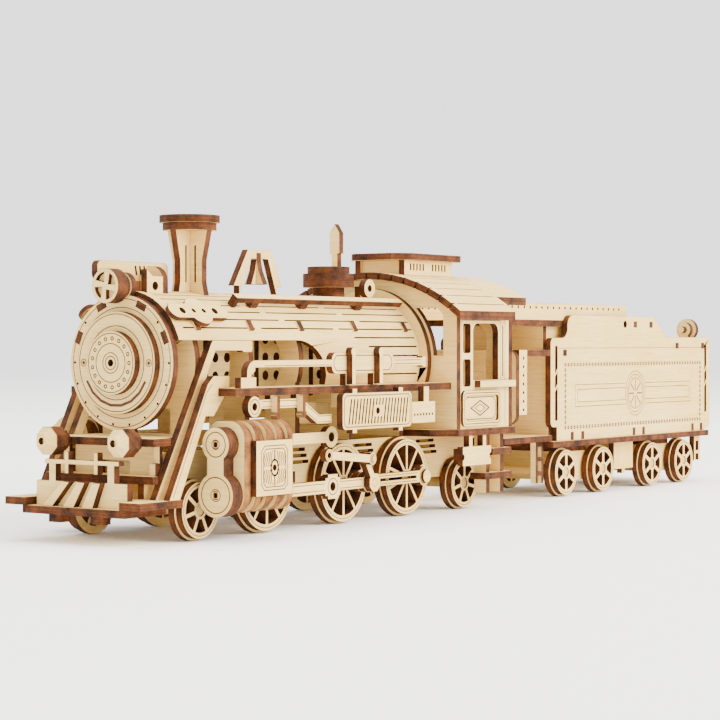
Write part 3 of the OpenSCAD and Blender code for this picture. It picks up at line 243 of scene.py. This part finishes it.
def makeScorchGroup():
    # laser scorch that creeps a little way in from every cut outline
    group, start, end = newGroup(
        "outlineScorch",
        [
            ("Vector", "NodeSocketVector", None),
            ("Rim", "NodeSocketFloat", 0.0),
            ("Reach", "NodeSocketFloat", 0.5),
        ],
        [("Mask", "NodeSocketFloat")],
    )
    wobble = addNoise(group, start.outputs["Vector"], 900, 2)
    pushed = addMath(group, "ADD", start.outputs["Rim"],
                     addMath(group, "MULTIPLY", addMath(group, "SUBTRACT", wobble, 0.5), 0.5))
    high = addMath(group, "ADD", start.outputs["Reach"], 0.45)
    low = addMath(group, "SUBTRACT", start.outputs["Reach"], 0.1)
    shade = addMath(group, "DIVIDE", addMath(group, "SUBTRACT", pushed, low),
                    addMath(group, "SUBTRACT", high, low), clamp=True)
    group.links.new(shade, end.inputs["Mask"])
    return group


grainGroup = makeGrainGroup()
scorchGroup = makeScorchGroup()


def newMaterial(name):
    material = bpy.data.materials.new(name)
    material.use_nodes = True
    tree = material.node_tree
    shader = tree.nodes["Principled BSDF"]
    coords = tree.nodes.new("ShaderNodeTexCoord")
    return material, tree, shader, coords.outputs["Object"]


def placeGroup(tree, group, links):
    node = tree.nodes.new("ShaderNodeGroup")
    node.node_tree = group
    for label, value in links.items():
        if isinstance(value, (int, float)):
            node.inputs[label].default_value = value
        else:
            tree.links.new(value, node.inputs[label])
    return node


def addBump(tree, shader, height, strength, depth):
    bump = tree.nodes.new("ShaderNodeBump")
    bump.inputs["Strength"].default_value = strength
    bump.inputs["Distance"].default_value = depth
    tree.links.new(height, bump.inputs["Height"])
    tree.links.new(bump.outputs["Normal"], shader.inputs["Normal"])


def readAttribute(tree, name):
    node = tree.nodes.new("ShaderNodeAttribute")
    node.attribute_name = name
    return node.outputs["Fac"]


def makeFaceMaterial(name, turn, base, warm, pale):
    material, tree, shader, place = newMaterial(name)
    mapping = tree.nodes.new("ShaderNodeMapping")
    mapping.inputs["Rotation"].default_value = turn
    tree.links.new(place, mapping.inputs["Vector"])
    grain = placeGroup(tree, grainGroup, {"Vector": mapping.outputs["Vector"]})
    rim = readAttribute(tree, "rim")
    scorch = placeGroup(tree, scorchGroup, {"Vector": place, "Rim": rim, "Reach": 0.45})
    toned = addMix(tree, grain.outputs["Tone"], rgba(base), rgba(pale))
    streaked = addMix(tree, addMath(tree, "MULTIPLY", grain.outputs["Streak"], 0.42), toned, rgba(warm))
    charred = addMath(tree, "MULTIPLY", scorch.outputs["Mask"], 0.85)
    burnt = addMix(tree, charred, streaked, rgba(wood["rim"]))
    tree.links.new(burnt, shader.inputs["Base Color"])
    tree.links.new(addRange(tree, grain.outputs["Streak"], 0, 1, 0.62, 0.78), shader.inputs["Roughness"])
    shader.inputs["Specular IOR Level"].default_value = 0.28
    addBump(tree, shader, grain.outputs["Height"], 0.25, 0.00004)
    return material


def makeEdgeMaterial(name, light, dark):
    # ply counts sheets across the cut: each sheet has three plies with two glue lines
    material, tree, shader, place = newMaterial(name)
    ply = addMath(tree, "FRACT", readAttribute(tree, "ply"))
    mid = addMath(tree, "ABSOLUTE", addMath(tree, "SUBTRACT", ply, 0.5))
    fromGlue = addMath(tree, "ABSOLUTE", addMath(tree, "SUBTRACT", mid, 0.19))
    glue = addRange(tree, fromGlue, 0.02, 0.07, 1.0, 0.0)
    skin = addRange(tree, mid, 0.34, 0.5)
    burn = addNoise(tree, place, 260, 4)
    speck = addNoise(tree, place, 2200, 3, 0.7)
    burnPart = addMath(tree, "MULTIPLY", burn, 0.7)
    speckPart = addMath(tree, "MULTIPLY", speck, 0.3)
    heat = addMath(tree, "ADD", burnPart, speckPart)
    body = addMix(tree, addRange(tree, heat, 0.36, 0.62), rgba(dark), rgba(light))
    lined = addMix(tree, addMath(tree, "MULTIPLY", glue, 0.45), body, rgba(wood["edgeGlue"]))
    crisp = addMix(tree, addMath(tree, "MULTIPLY", skin, 0.45), lined, rgba(wood["edgeDark"]))
    tree.links.new(crisp, shader.inputs["Base Color"])
    shader.inputs["Roughness"].default_value = 0.8
    shader.inputs["Specular IOR Level"].default_value = 0.2
    addBump(tree, shader, heat, 0.4, 0.00006)
    return material


def makeStickMaterial():
    material, tree, shader, place = newMaterial("roundStick")
    turned = tree.nodes.new("ShaderNodeMapping")
    turned.inputs["Rotation"].default_value = (0, 0, math.pi / 2)
    tree.links.new(place, turned.inputs["Vector"])
    grain = placeGroup(tree, grainGroup, {"Vector": turned.outputs["Vector"]})
    toned = addMix(tree, grain.outputs["Tone"], rgba(wood["stick"]), rgba(wood["face"]))
    streak = addMath(tree, "MULTIPLY", grain.outputs["Streak"], 0.6)
    streaked = addMix(tree, streak, toned, rgba(wood["faceWarm"]))
    tree.links.new(streaked, shader.inputs["Base Color"])
    shader.inputs["Roughness"].default_value = 0.7
    addBump(tree, shader, grain.outputs["Height"], 0.3, 0.00005)
    return material


def makeEngravedMaterial():
    material, tree, shader, place = newMaterial("engravedLine")
    char = addNoise(tree, place, 1500, 3)
    tone = addMix(tree, addRange(tree, char, 0.35, 0.65), rgba(wood["engraved"]), rgba(wood["rim"]))
    tree.links.new(tone, shader.inputs["Base Color"])
    shader.inputs["Roughness"].default_value = 0.85
    addBump(tree, shader, char, 0.3, 0.00003)
    return material


alongX = (0, 0, 0)
alongY = (0, 0, math.pi / 2)
alongZ = (0, math.pi / 2, 0)
faceMaterials = {
    "x": makeFaceMaterial("sheetAlong", alongX, wood["face"], wood["faceWarm"], wood["facePale"]),
    "y": makeFaceMaterial("sheetAcross", alongY, wood["face"], wood["faceWarm"], wood["facePale"]),
    "z": makeFaceMaterial("sheetUpright", alongZ, wood["face"], wood["faceWarm"], wood["facePale"]),
}
edgeMaterial = makeEdgeMaterial("burntEdge", wood["edgeLight"], wood["edgeDark"])
ribMaterial = makeEdgeMaterial("ribEdge", wood["ribLight"], wood["ribDark"])
stickMaterial = makeStickMaterial()
engravedMaterial = makeEngravedMaterial()
print("finishes ready")

sheetCut = {
    "weld": 4e-6,
    "flat": math.radians(0.6),
    "scorchWidth": 0.00016,
    "sheet": 0.002,
    "stickShare": 0.22,  # a solid whose flat sides are a smaller share than this is a round stick
    "faceLean": 0.3,  # faces that look closer than this to the sheet's own direction are not cuts
    "flatLean": 0.985,
    "roundLean": 0.95,
    "acrossLean": 0.7,  # sheets that look along X by more than this have the grain across
    "roofEdge": 0.0013,
}
roundWalls = {"boiler_shell", "cab_roof"}
ribNodes = {"cylinder_blocks"}
slottedNodes = {"boiler_shell", "smokebox_front"}  # their many slots leave no room for a scorched rim
uprightNodes = {"cab_sides", "chimney", "bell_frame", "bell", "gangway", "tender_ladders"}


def islandsOf(bm):
    seen, groups = set(), []
    for first in bm.verts:
        if first.index in seen:
            continue
        stack, group = [first], []
        seen.add(first.index)
        while stack:
            vert = stack.pop()
            group.append(vert)
            for edge in vert.link_edges:
                other = edge.other_vert(vert)
                if other.index not in seen:
                    seen.add(other.index)
                    stack.append(other)
        groups.append(group)
    return groups


def mainDirection(faces):
    # the direction that most of a sheet's area looks along, and its share of the whole area
    sums, total = {}, 0.0
    for face in faces:
        n = face.normal
        if n.x < -0.01 or (abs(n.x) <= 0.01 and (n.y < -0.01 or (abs(n.y) <= 0.01 and n.z < 0))):
            n = -n
        key = (round(n.x, 2), round(n.y, 2), round(n.z, 2))
        area = face.calc_area()
        total += area
        old = sums.get(key, (0.0, Vector((0, 0, 0))))
        sums[key] = (old[0] + area, old[1] + n * area)
    best = max(sums.values(), key=lambda item: item[0])
    return best[1].normalized(), best[0] / total


def roundCentre(node):
    if node == "boiler_shell":
        lo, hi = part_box("smokebox_door")
        return (lo.z + hi.z) / 2
    lo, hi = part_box("cab_roof")  # chord rule on the roof's half width and rise
    half = hi.y
    rise = hi.z - lo.z - sheetCut["roofEdge"]
    return hi.z - (half * half + rise ** 2) / (2 * rise)


def sheetPiece(node):
    source = frame["nodes"][node]
    bm = bmesh.new()
    bm.from_mesh(source.data)
    bmesh.ops.remove_doubles(bm, verts=bm.verts, dist=sheetCut["weld"])
    plain = node in slottedNodes
    if not plain:
        bmesh.ops.dissolve_limit(bm, angle_limit=sheetCut["flat"], verts=bm.verts, edges=bm.edges)
    bm.verts.index_update()
    bm.normal_update()
    plyLayer = bm.verts.layers.float.new("ply")
    rimLayer = bm.verts.layers.float.new("rim")
    wideFaces = []
    centreZ = roundCentre(node) if node in roundWalls else None
    grainAxis = "z" if node in uprightNodes else "x"
    for group in islandsOf(bm):
        faces = list({face for vert in group for face in vert.link_faces})
        if not faces:
            continue
        if centreZ is not None:
            for vert in group:
                vert[plyLayer] = math.hypot(vert.co.y, vert.co.z - centreZ) / sheetCut["sheet"]
            inner = min(vert[plyLayer] for vert in group)
            for vert in group:
                vert[plyLayer] = min(max(vert[plyLayer] - inner, 0.02), 0.98)
            for face in faces:
                spot = face.calc_center_median()
                out = Vector((0, spot.y, spot.z - centreZ)).normalized()
                if abs(face.normal.dot(out)) > sheetCut["roundLean"]:
                    face.material_index = 0
                    wideFaces.append(face)
                else:
                    face.material_index = 1
            continue
        direction, share = mainDirection(faces)
        if share < sheetCut["stickShare"]:
            for face in faces:
                face.material_index = 2
            continue
        low = min(vert.co.dot(direction) for vert in group)
        for vert in group:
            vert[plyLayer] = (vert.co.dot(direction) - low) / sheetCut["sheet"] * 0.98 + 0.01
        for face in faces:
            lean = abs(face.normal.dot(direction))
            if lean > sheetCut["faceLean"]:
                face.material_index = 0 if abs(direction.x) < sheetCut["acrossLean"] else 3
                if lean > sheetCut["flatLean"]:
                    wideFaces.append(face)
            else:
                face.material_index = 1
    wideFaces = [face for face in wideFaces if face.is_valid]
    if wideFaces and not plain:
        bmesh.ops.inset_region(
            bm, faces=wideFaces, thickness=sheetCut["scorchWidth"], use_even_offset=True, use_boundary=True
        )
    for vert in bm.verts:
        if not plain and any(face.material_index == 1 for face in vert.link_faces):
            vert[rimLayer] = 1.0
    mesh = bpy.data.meshes.new(node + "_sheet")
    bm.to_mesh(mesh)
    bm.free()
    mesh.materials.append(faceMaterials[grainAxis])
    mesh.materials.append(ribMaterial if node in ribNodes else edgeMaterial)
    mesh.materials.append(stickMaterial)
    mesh.materials.append(faceMaterials["y"])
    piece = bpy.data.objects.new(node + "_sheet", mesh)
    bpy.context.scene.collection.objects.link(piece)
    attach(piece, nodeBody[node])
    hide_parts(node)
    source.data.materials.clear()
    source.data.materials.append(faceMaterials[grainAxis])
    return piece


pieces = {node: sheetPiece(node) for node in sorted(nodeBody)}
print("sheets cut:", len(pieces))

engraving = {
    "sink": 0.00008,
    "lift": 0.000035,
    "boldness": 1.5,
    "width": 0.18,
    "overlap": 0.6,  # share of half a width that a line runs past its ends
    "inset": 0.02,  # mm from a sheet's face to the plane that is drawn on
}
sideViews = {"near": -1.0, "far": 1.0}


class LineDrawer:
    # thin scorched lines laid on a flat side of a sheet; u and v run along the side
    def __init__(self, name, body, origin, u, v, out):
        self.name, self.body = name, body
        self.origin, self.u, self.v = Vector(origin), Vector(u), Vector(v)
        self.out = Vector(out)
        self.shift = 0.0
        self.bm = bmesh.new()

    def spot(self, a, b, lift):
        return self.origin + self.u * ((a + self.shift) * mm) + self.v * (b * mm) + self.out * lift

    def patch(self, corners):
        low = [self.bm.verts.new(self.spot(a, b, -engraving["sink"])) for a, b in corners]
        top = [self.bm.verts.new(self.spot(a, b, engraving["lift"])) for a, b in corners]
        self.bm.faces.new(top)
        self.bm.faces.new(low[::-1])
        for i in range(len(corners)):
            k = (i + 1) % len(corners)
            self.bm.faces.new((low[i], low[k], top[k], top[i]))

    def halfWidth(self, width):
        return (width or engraving["width"]) / 2 * engraving["boldness"]

    def line(self, points, closed=False, width=None):
        half, past = self.halfWidth(width), engraving["overlap"]
        following = points[1:] + points[:1] if closed else points[1:]
        for (ax, ay), (bx, by) in zip(points, following):
            long = math.hypot(bx - ax, by - ay)
            if long < 1e-6:
                continue
            dx, dy = (bx - ax) / long * half, (by - ay) / long * half
            px, py = dx * past, dy * past
            self.patch([
                (ax - px + dy, ay - py - dx),
                (bx + px + dy, by + py - dx),
                (bx + px - dy, by + py + dx),
                (ax - px - dy, ay - py + dx),
            ])

    def ring(self, a, b, radius, width=None, steps=40, start=0.0, sweep=360.0):
        half = self.halfWidth(width)
        near, far = radius - half, radius + half
        count = max(6, int(steps * sweep / 360))
        corners = []
        for i in range(count + 1):
            t = math.radians(start + sweep * i / count)
            corners.append((math.cos(t), math.sin(t)))
        for (c0, s0), (c1, s1) in zip(corners, corners[1:]):
            self.patch([
                (a + near * c0, b + near * s0),
                (a + far * c0, b + far * s0),
                (a + far * c1, b + far * s1),
                (a + near * c1, b + near * s1),
            ])

    def dot(self, a, b, radius, steps=10):
        self.patch(ovalPoints(a, b, radius, radius, 360 / steps))

    def frame(self, a0, b0, a1, b1, cut=0.0, width=None):
        corners = [
            (a0 + cut, b0), (a1 - cut, b0), (a1, b0 + cut), (a1, b1 - cut),
            (a1 - cut, b1), (a0 + cut, b1), (a0, b1 - cut), (a0, b0 + cut),
        ]
        self.line(corners, closed=True, width=width)

    def finish(self):
        bmesh.ops.recalc_face_normals(self.bm, faces=self.bm.faces)
        mesh = bpy.data.meshes.new(self.name)
        self.bm.to_mesh(mesh)
        self.bm.free()
        mesh.materials.append(engravedMaterial)
        piece = bpy.data.objects.new(self.name, mesh)
        bpy.context.scene.collection.objects.link(piece)
        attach(piece, self.body)


def ovalPoints(a, b, reachA, reachB, step):
    turns = [math.radians(step * i) for i in range(round(360 / step))]
    return [(a + reachA * math.cos(t), b + reachB * math.sin(t)) for t in turns]


def sideDrawer(name, body, side, plane):
    # a runs with +X on both sides, so mirrored drawings keep their places
    sign = sideViews[side]
    origin = (0, sign * plane * mm, 0)
    return LineDrawer(name + "_" + side, body, origin, (1, 0, 0), (0, 0, 1), (0, sign, 0))


def frontDrawer(name, x, z):
    return LineDrawer(name, "locomotive", (x * mm, 0, z * mm), (0, -1, 0), (0, 0, 1), (-1, 0, 0))


def boxMm(node):
    lo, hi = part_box(node)
    return Vector(lo) / mm, Vector(hi) / mm


def outerFace(node):
    return -boxMm(node)[0].y


def outerPlane(node):
    return outerFace(node) - engraving["inset"]


def shifted(points, x):
    return [(x + a, b) for a, b in points]


wheelRims = {
    "leading_wheelset": 1.5, "trailing_wheelset": 1.5,
    "driver_wheelset_1": 1.7, "driver_wheelset_2": 1.7, "driver_wheelset_3": 1.7,
    "tender_wheelset_1": 1.6, "tender_wheelset_2": 1.6,
    "tender_wheelset_3": 1.6, "tender_wheelset_4": 1.6,
}
wheelRing = {"flange": 0.64, "rimShare": 0.45, "width": 0.14, "steps": 64}


def drawWheels():
    plane = outerPlane("leading_wheelset")
    for node, rim in wheelRims.items():
        lo, hi = boxMm(node)
        radius = (hi.z - lo.z) / 2 - wheelRing["flange"] - rim * wheelRing["rimShare"]
        for side in sideViews:
            drawer = sideDrawer(node + "_lines", nodeBody[node], side, plane)
            drawer.ring(
                (lo.x + hi.x) / 2, (lo.z + hi.z) / 2, radius, wheelRing["width"], wheelRing["steps"]
            )
            drawer.finish()


drawWheels()

tenderPanel = {
    "fromFront": 9.5,
    "fromRear": 8.0,
    "rivetRows": (22.5, 42.9),
    "rivetsAlong": 49,
    "rivetsUp": 12,
    "rivet": {"radius": 0.42, "width": 0.3, "steps": 10},
    "topLine": {"front": 5.0, "rear": 2.0, "z": 48.3, "width": 0.12},
    "frameGrowth": (0, 1.5),
    "frameZ": (29.2, 36.3),
    "frameReach": (7.2, 42.0),
    "frameWidth": 0.14,
    "emblemZ": 32.8,
    "ovals": (7.6, 6.4),
    "ovalShare": 0.94,
    "ovalStep": 8,
    "ovalWidth": 0.16,
    "spokes": (1.2, 4.6),
    "spokeStep": 45,
    "spokeWidth": 0.3,
    "wheel": 5.2,
    "wheelWidth": 0.2,
}


def drawTenderSides():
    # rivet rows, a double frame with a plain oval, and long panel lines
    spec, top = tenderPanel, tenderPanel["topLine"]
    lo, hi = boxMm("tender_sides")
    left, right = lo.x + spec["fromFront"], hi.x - spec["fromRear"]
    low, high = spec["rivetRows"]
    middle, centre = (lo.x + hi.x) / 2, spec["emblemZ"]
    inner, outer = spec["frameReach"]
    for side in sideViews:
        drawer = sideDrawer("tenderPanel", "tender", side, outerPlane("tender_sides"))
        for z in spec["rivetRows"]:
            for i in range(spec["rivetsAlong"] + 1):
                drawer.ring(left + (right - left) * i / spec["rivetsAlong"], z, **spec["rivet"])
        for x in (left, right):
            for i in range(1, spec["rivetsUp"]):
                drawer.ring(x, low + (high - low) * i / spec["rivetsUp"], **spec["rivet"])
        drawer.line([(lo.x + top["front"], top["z"]), (hi.x - top["rear"], top["z"])], width=top["width"])
        for grow in spec["frameGrowth"]:
            bottomZ, topZ, reach = spec["frameZ"][0] + grow, spec["frameZ"][1] - grow, outer - grow
            for sign in (-1, 1):
                hook = [(inner, topZ), (reach, topZ), (reach, bottomZ), (inner, bottomZ)]
                drawer.line([(middle + sign * a, b) for a, b in hook], width=spec["frameWidth"])
        for radius in spec["ovals"]:
            oval = ovalPoints(middle, centre, radius * spec["ovalShare"], radius, spec["ovalStep"])
            drawer.line(oval, closed=True, width=spec["ovalWidth"])
        near, far = spec["spokes"]
        for turn in range(0, 360, spec["spokeStep"]):
            c, d = math.cos(math.radians(turn)), math.sin(math.radians(turn))
            spoke = [(middle + near * c, centre + near * d), (middle + far * c, centre + far * d)]
            drawer.line(spoke, width=spec["spokeWidth"])
        drawer.ring(middle, centre, spec["wheel"], width=spec["wheelWidth"])
        drawer.finish()


cabPanel = {
    "trimThickness": 0.8,
    "plate": (0.9, 26.3, 20.7, 35.3),
    "plateCut": 0.8,
    "panel": (2.3, 27.6, 19.3, 34.0),
    "panelCut": 1.2,
    "lozengeAt": (10.8, 30.8),
    "lozenges": ((5.0, 2.2, 0.3), (2.8, 1.2, 0.2)),  # half width, half height, line width
    "windowLine": [(0.7, 36.4), (0.7, 56.6), (22.2, 56.6), (22.2, 39.2)],
    "postLine": [(24.9, 26.0), (24.9, 56.6)],
    "lineWidth": 0.12,
}


def drawCabSides():
    spec = cabPanel
    x = boxMm("cab_sides")[0].x
    wall = outerPlane("cab_sides")
    at, z = spec["lozengeAt"]
    for side in sideViews:
        drawer = sideDrawer("cabPanel", "locomotive", side, wall + spec["trimThickness"])
        a0, b0, a1, b1 = spec["plate"]
        drawer.frame(x + a0, b0, x + a1, b1, cut=spec["plateCut"])
        drawer.finish()
        plain = sideDrawer("cabBlank", "locomotive", side, wall)
        a0, b0, a1, b1 = spec["panel"]
        plain.frame(x + a0, b0, x + a1, b1, cut=spec["panelCut"])
        for wide, tall, width in spec["lozenges"]:
            lozenge = [(at, z - tall), (at + wide, z), (at, z + tall), (at - wide, z)]
            plain.line(shifted(lozenge, x), closed=True, width=width)
        plain.line(shifted(spec["windowLine"], x), width=spec["lineWidth"])
        plain.line(shifted(spec["postLine"], x), width=spec["lineWidth"])
        plain.finish()


coverPlate = {
    "frames": ((5.4, 5.6, 1.3), (4.6, 4.8, 1.1)),  # half width, half height, cut corner
    "eye": (1.5, 2.0),
    "eyeStep": 15,
    "stem": (2.1, 4.4),
    "boldWidth": 0.34,
    "leaves": 5,
    "leafSpacing": 0.75,
    "leafWidth": 0.2,
}
cylinderCaps = {
    "y": 26.4,
    "rings": ((24.6, 3.1, 0.2, 40), (11.94, 4.5, 0.2, 48), (24.6, 1.2, 0.16, 40), (11.94, 1.5, 0.16, 40)),
    "nutsZ": (24.6, 11.94),
    "nutHalf": (0.55, 1.0),
}


def drawCylinders():
    spec, caps = coverPlate, cylinderCaps
    lo, hi = boxMm("cylinder_covers")
    x, z = (lo.x + hi.x) / 2, (lo.z + hi.z) / 2
    for side in sideViews:
        drawer = sideDrawer("coverPlate", "locomotive", side, outerPlane("cylinder_covers"))
        for wide, tall, cut in spec["frames"]:
            drawer.frame(x - wide, z - tall, x + wide, z + tall, cut=cut)
        drawer.line(ovalPoints(x, z, *spec["eye"], spec["eyeStep"]), closed=True, width=spec["boldWidth"])
        for end in (-1, 1):
            drawer.line([(x, z + end * reach) for reach in spec["stem"]], width=spec["boldWidth"])
            for hand in (-1, 1):
                for i in range(spec["leaves"]):
                    near = 1.0 + i * spec["leafSpacing"]
                    leaf = [(near, 4.2 - i * 0.15), (near + 0.5, 2.4 - i * 0.1), (near + 0.1, 0.5)]
                    drawer.line([(x + hand * a, z + end * b) for a, b in leaf], width=spec["leafWidth"])
        drawer.finish()
    low = frontDrawer("capRings", boxMm("cylinder_ends")[0].x + engraving["inset"], 0)
    wide, tall = caps["nutHalf"]
    for sign in (-1, 1):
        y = sign * caps["y"]
        for capZ, radius, width, steps in caps["rings"]:
            low.ring(y, capZ, radius, width=width, steps=steps)
        for capZ in caps["nutsZ"]:
            low.frame(y - wide, capZ - tall, y + wide, capZ + tall)
    low.finish()


smokeboxLines = {
    "rimInsets": (0.9, 3.2),
    "rimWidth": 0.14,
    "rimSteps": 96,
    "hubDepth": 2.0,  # mm from the front of the hub disc back to the door
    "doorRings": (12.4, 9.4),
    "doorSteps": 80,
    "lineWidth": 0.16,
    "boltAt": 11.0,
    "boltDot": 0.5,
    "boltRing": {"radius": 0.9, "width": 0.14, "steps": 16},
    "handrail": {"radius": 10.9, "width": 0.5, "steps": 20, "start": -155, "sweep": 130},
    "hubRing": 7.5,
    "hubSteps": 64,
    "rivets": 17,
    "rivetCircle": 6.2,
    "rivet": {"radius": 0.42, "width": 0.2, "steps": 12},
    "innerRings": (4.9, 2.6, 1.7),
}


def drawSmokebox():
    spec = smokeboxLines
    front, frontHigh = boxMm("smokebox_front")
    door, doorHigh = boxMm("smokebox_door")
    z = (door.z + doorHigh.z) / 2
    reach = (frontHigh.y - front.y) / 2
    rim = frontDrawer("frontRings", front.x, z)
    for inset in spec["rimInsets"]:
        rim.ring(0, 0, reach - inset, width=spec["rimWidth"], steps=spec["rimSteps"])
    rim.finish()
    face = frontDrawer("doorRings", door.x + spec["hubDepth"], z)
    for radius in spec["doorRings"]:
        face.ring(0, 0, radius, width=spec["lineWidth"], steps=spec["doorSteps"])
    for sign in (-1, 1):
        face.dot(sign * spec["boltAt"], 0, spec["boltDot"])
        face.ring(sign * spec["boltAt"], 0, **spec["boltRing"])
    face.ring(0, 0, **spec["handrail"])
    face.finish()
    hub = frontDrawer("hubRings", door.x, z)
    hub.ring(0, 0, spec["hubRing"], width=spec["lineWidth"], steps=spec["hubSteps"])
    for i in range(spec["rivets"]):
        t = 2 * math.pi * i / spec["rivets"]
        hub.ring(spec["rivetCircle"] * math.cos(t), spec["rivetCircle"] * math.sin(t), **spec["rivet"])
    for radius in spec["innerRings"]:
        hub.ring(0, 0, radius, width=spec["lineWidth"])
    hub.finish()


pipeLines = {
    "tankStart": 6.2,  # where the air tanks begin in these drawings
    "tankSheet": 2.0,
    "tankFrame": (46.1, 42.5, 73.5, 46.6),
    "tankCut": 1.2,
    "pipes": (
        [(16, 44.1), (45, 44.1)],
        [(75, 44.2), (88, 44.2)],
        [(75, 45.2), (88, 45.2)],
        [(15, 33.6), (30.6, 33.6), (38.8, 29.0), (44.6, 29.0)],
        [(15, 35.0), (31.4, 35.0), (39.2, 30.6), (44.6, 30.6)],
    ),
    "pipeWidth": 0.12,
    "tankEnd": (11.8, 33.7, 1.9),
    "stay": [(-13.6, 11.8), (-0.6, 37.6), (1.6, 39.6)],
    "boldWidth": 0.14,
    "grille": (46.2, 27.4, 77.6, 35.8),
    "grilleCut": 0.9,
}


def drawPipes():
    spec = pipeLines
    shift = boxMm("air_tanks")[0].x - spec["tankStart"]
    for side in sideViews:
        tanks = sideDrawer("tankLines", "locomotive", side, outerFace("air_tanks") - spec["tankSheet"])
        stay = sideDrawer("stayLine", "locomotive", side, outerFace("front_stays"))
        grille = sideDrawer("grilleFrame", "locomotive", side, outerFace("grille_panels"))
        tanks.shift = grille.shift = stay.shift = shift
        tanks.frame(*spec["tankFrame"], cut=spec["tankCut"])
        for points in spec["pipes"]:
            tanks.line(points, width=spec["pipeWidth"])
        tanks.ring(*spec["tankEnd"], width=spec["boldWidth"])
        tanks.finish()
        stay.line(spec["stay"], width=spec["boldWidth"])
        stay.finish()
        grille.frame(*spec["grille"], cut=spec["grilleCut"])
        grille.finish()


rodLines = {
    # eyes and grooves are measured in from the two ends of each rod
    "side_rods": {"eye": 2.8, "radius": 2.1, "eyeWidth": 0.16, "ends": (6.4, 6.4), "apart": 1.1},
    "main_rods": {"ends": (6.0, 6.0), "apart": 0.9},
    "crossheads": {"radius": 2.2, "rearEye": 3.3, "eyeWidth": 0.18, "ends": (5.0, 7.0), "apart": 0.9},
    "eccentric_rods": {"eye": 1.7, "radius": 1.25, "eyeWidth": 0.14, "steps": 24},
}
grooveWidth = 0.14


def drawRods():
    for side in sideViews:
        for node in ("side_rods", "main_rods", "eccentric_rods", "crossheads"):
            spec = rodLines[node]
            low, high = boxMm(node)
            z = (low.z + high.z) / 2
            drawer = sideDrawer(node + "_lines", nodeBody[node], side, outerPlane(node))
            if node == "side_rods":
                eyes = [(low.x + spec["eye"], z), (high.x - spec["eye"], z)]
            elif node == "eccentric_rods":
                eye = spec["eye"]
                eyes = [(low.x + eye, high.z - eye), (high.x - eye, low.z + eye)]
            elif node == "crossheads":
                eyes = [(high.x - spec["rearEye"], z)]
            else:
                eyes = []
            for a, b in eyes:
                drawer.ring(a, b, spec["radius"], width=spec["eyeWidth"], steps=spec.get("steps", 40))
            if "ends" in spec:
                start, end = low.x + spec["ends"][0], high.x - spec["ends"][1]
                for sign in (1, -1):
                    height = z + sign * spec["apart"]
                    drawer.line([(start, height), (end, height)], width=grooveWidth)
            drawer.finish()


drawTenderSides()
drawCabSides()
drawCylinders()
drawSmokebox()
drawPipes()
drawRods()
print("engraving done")
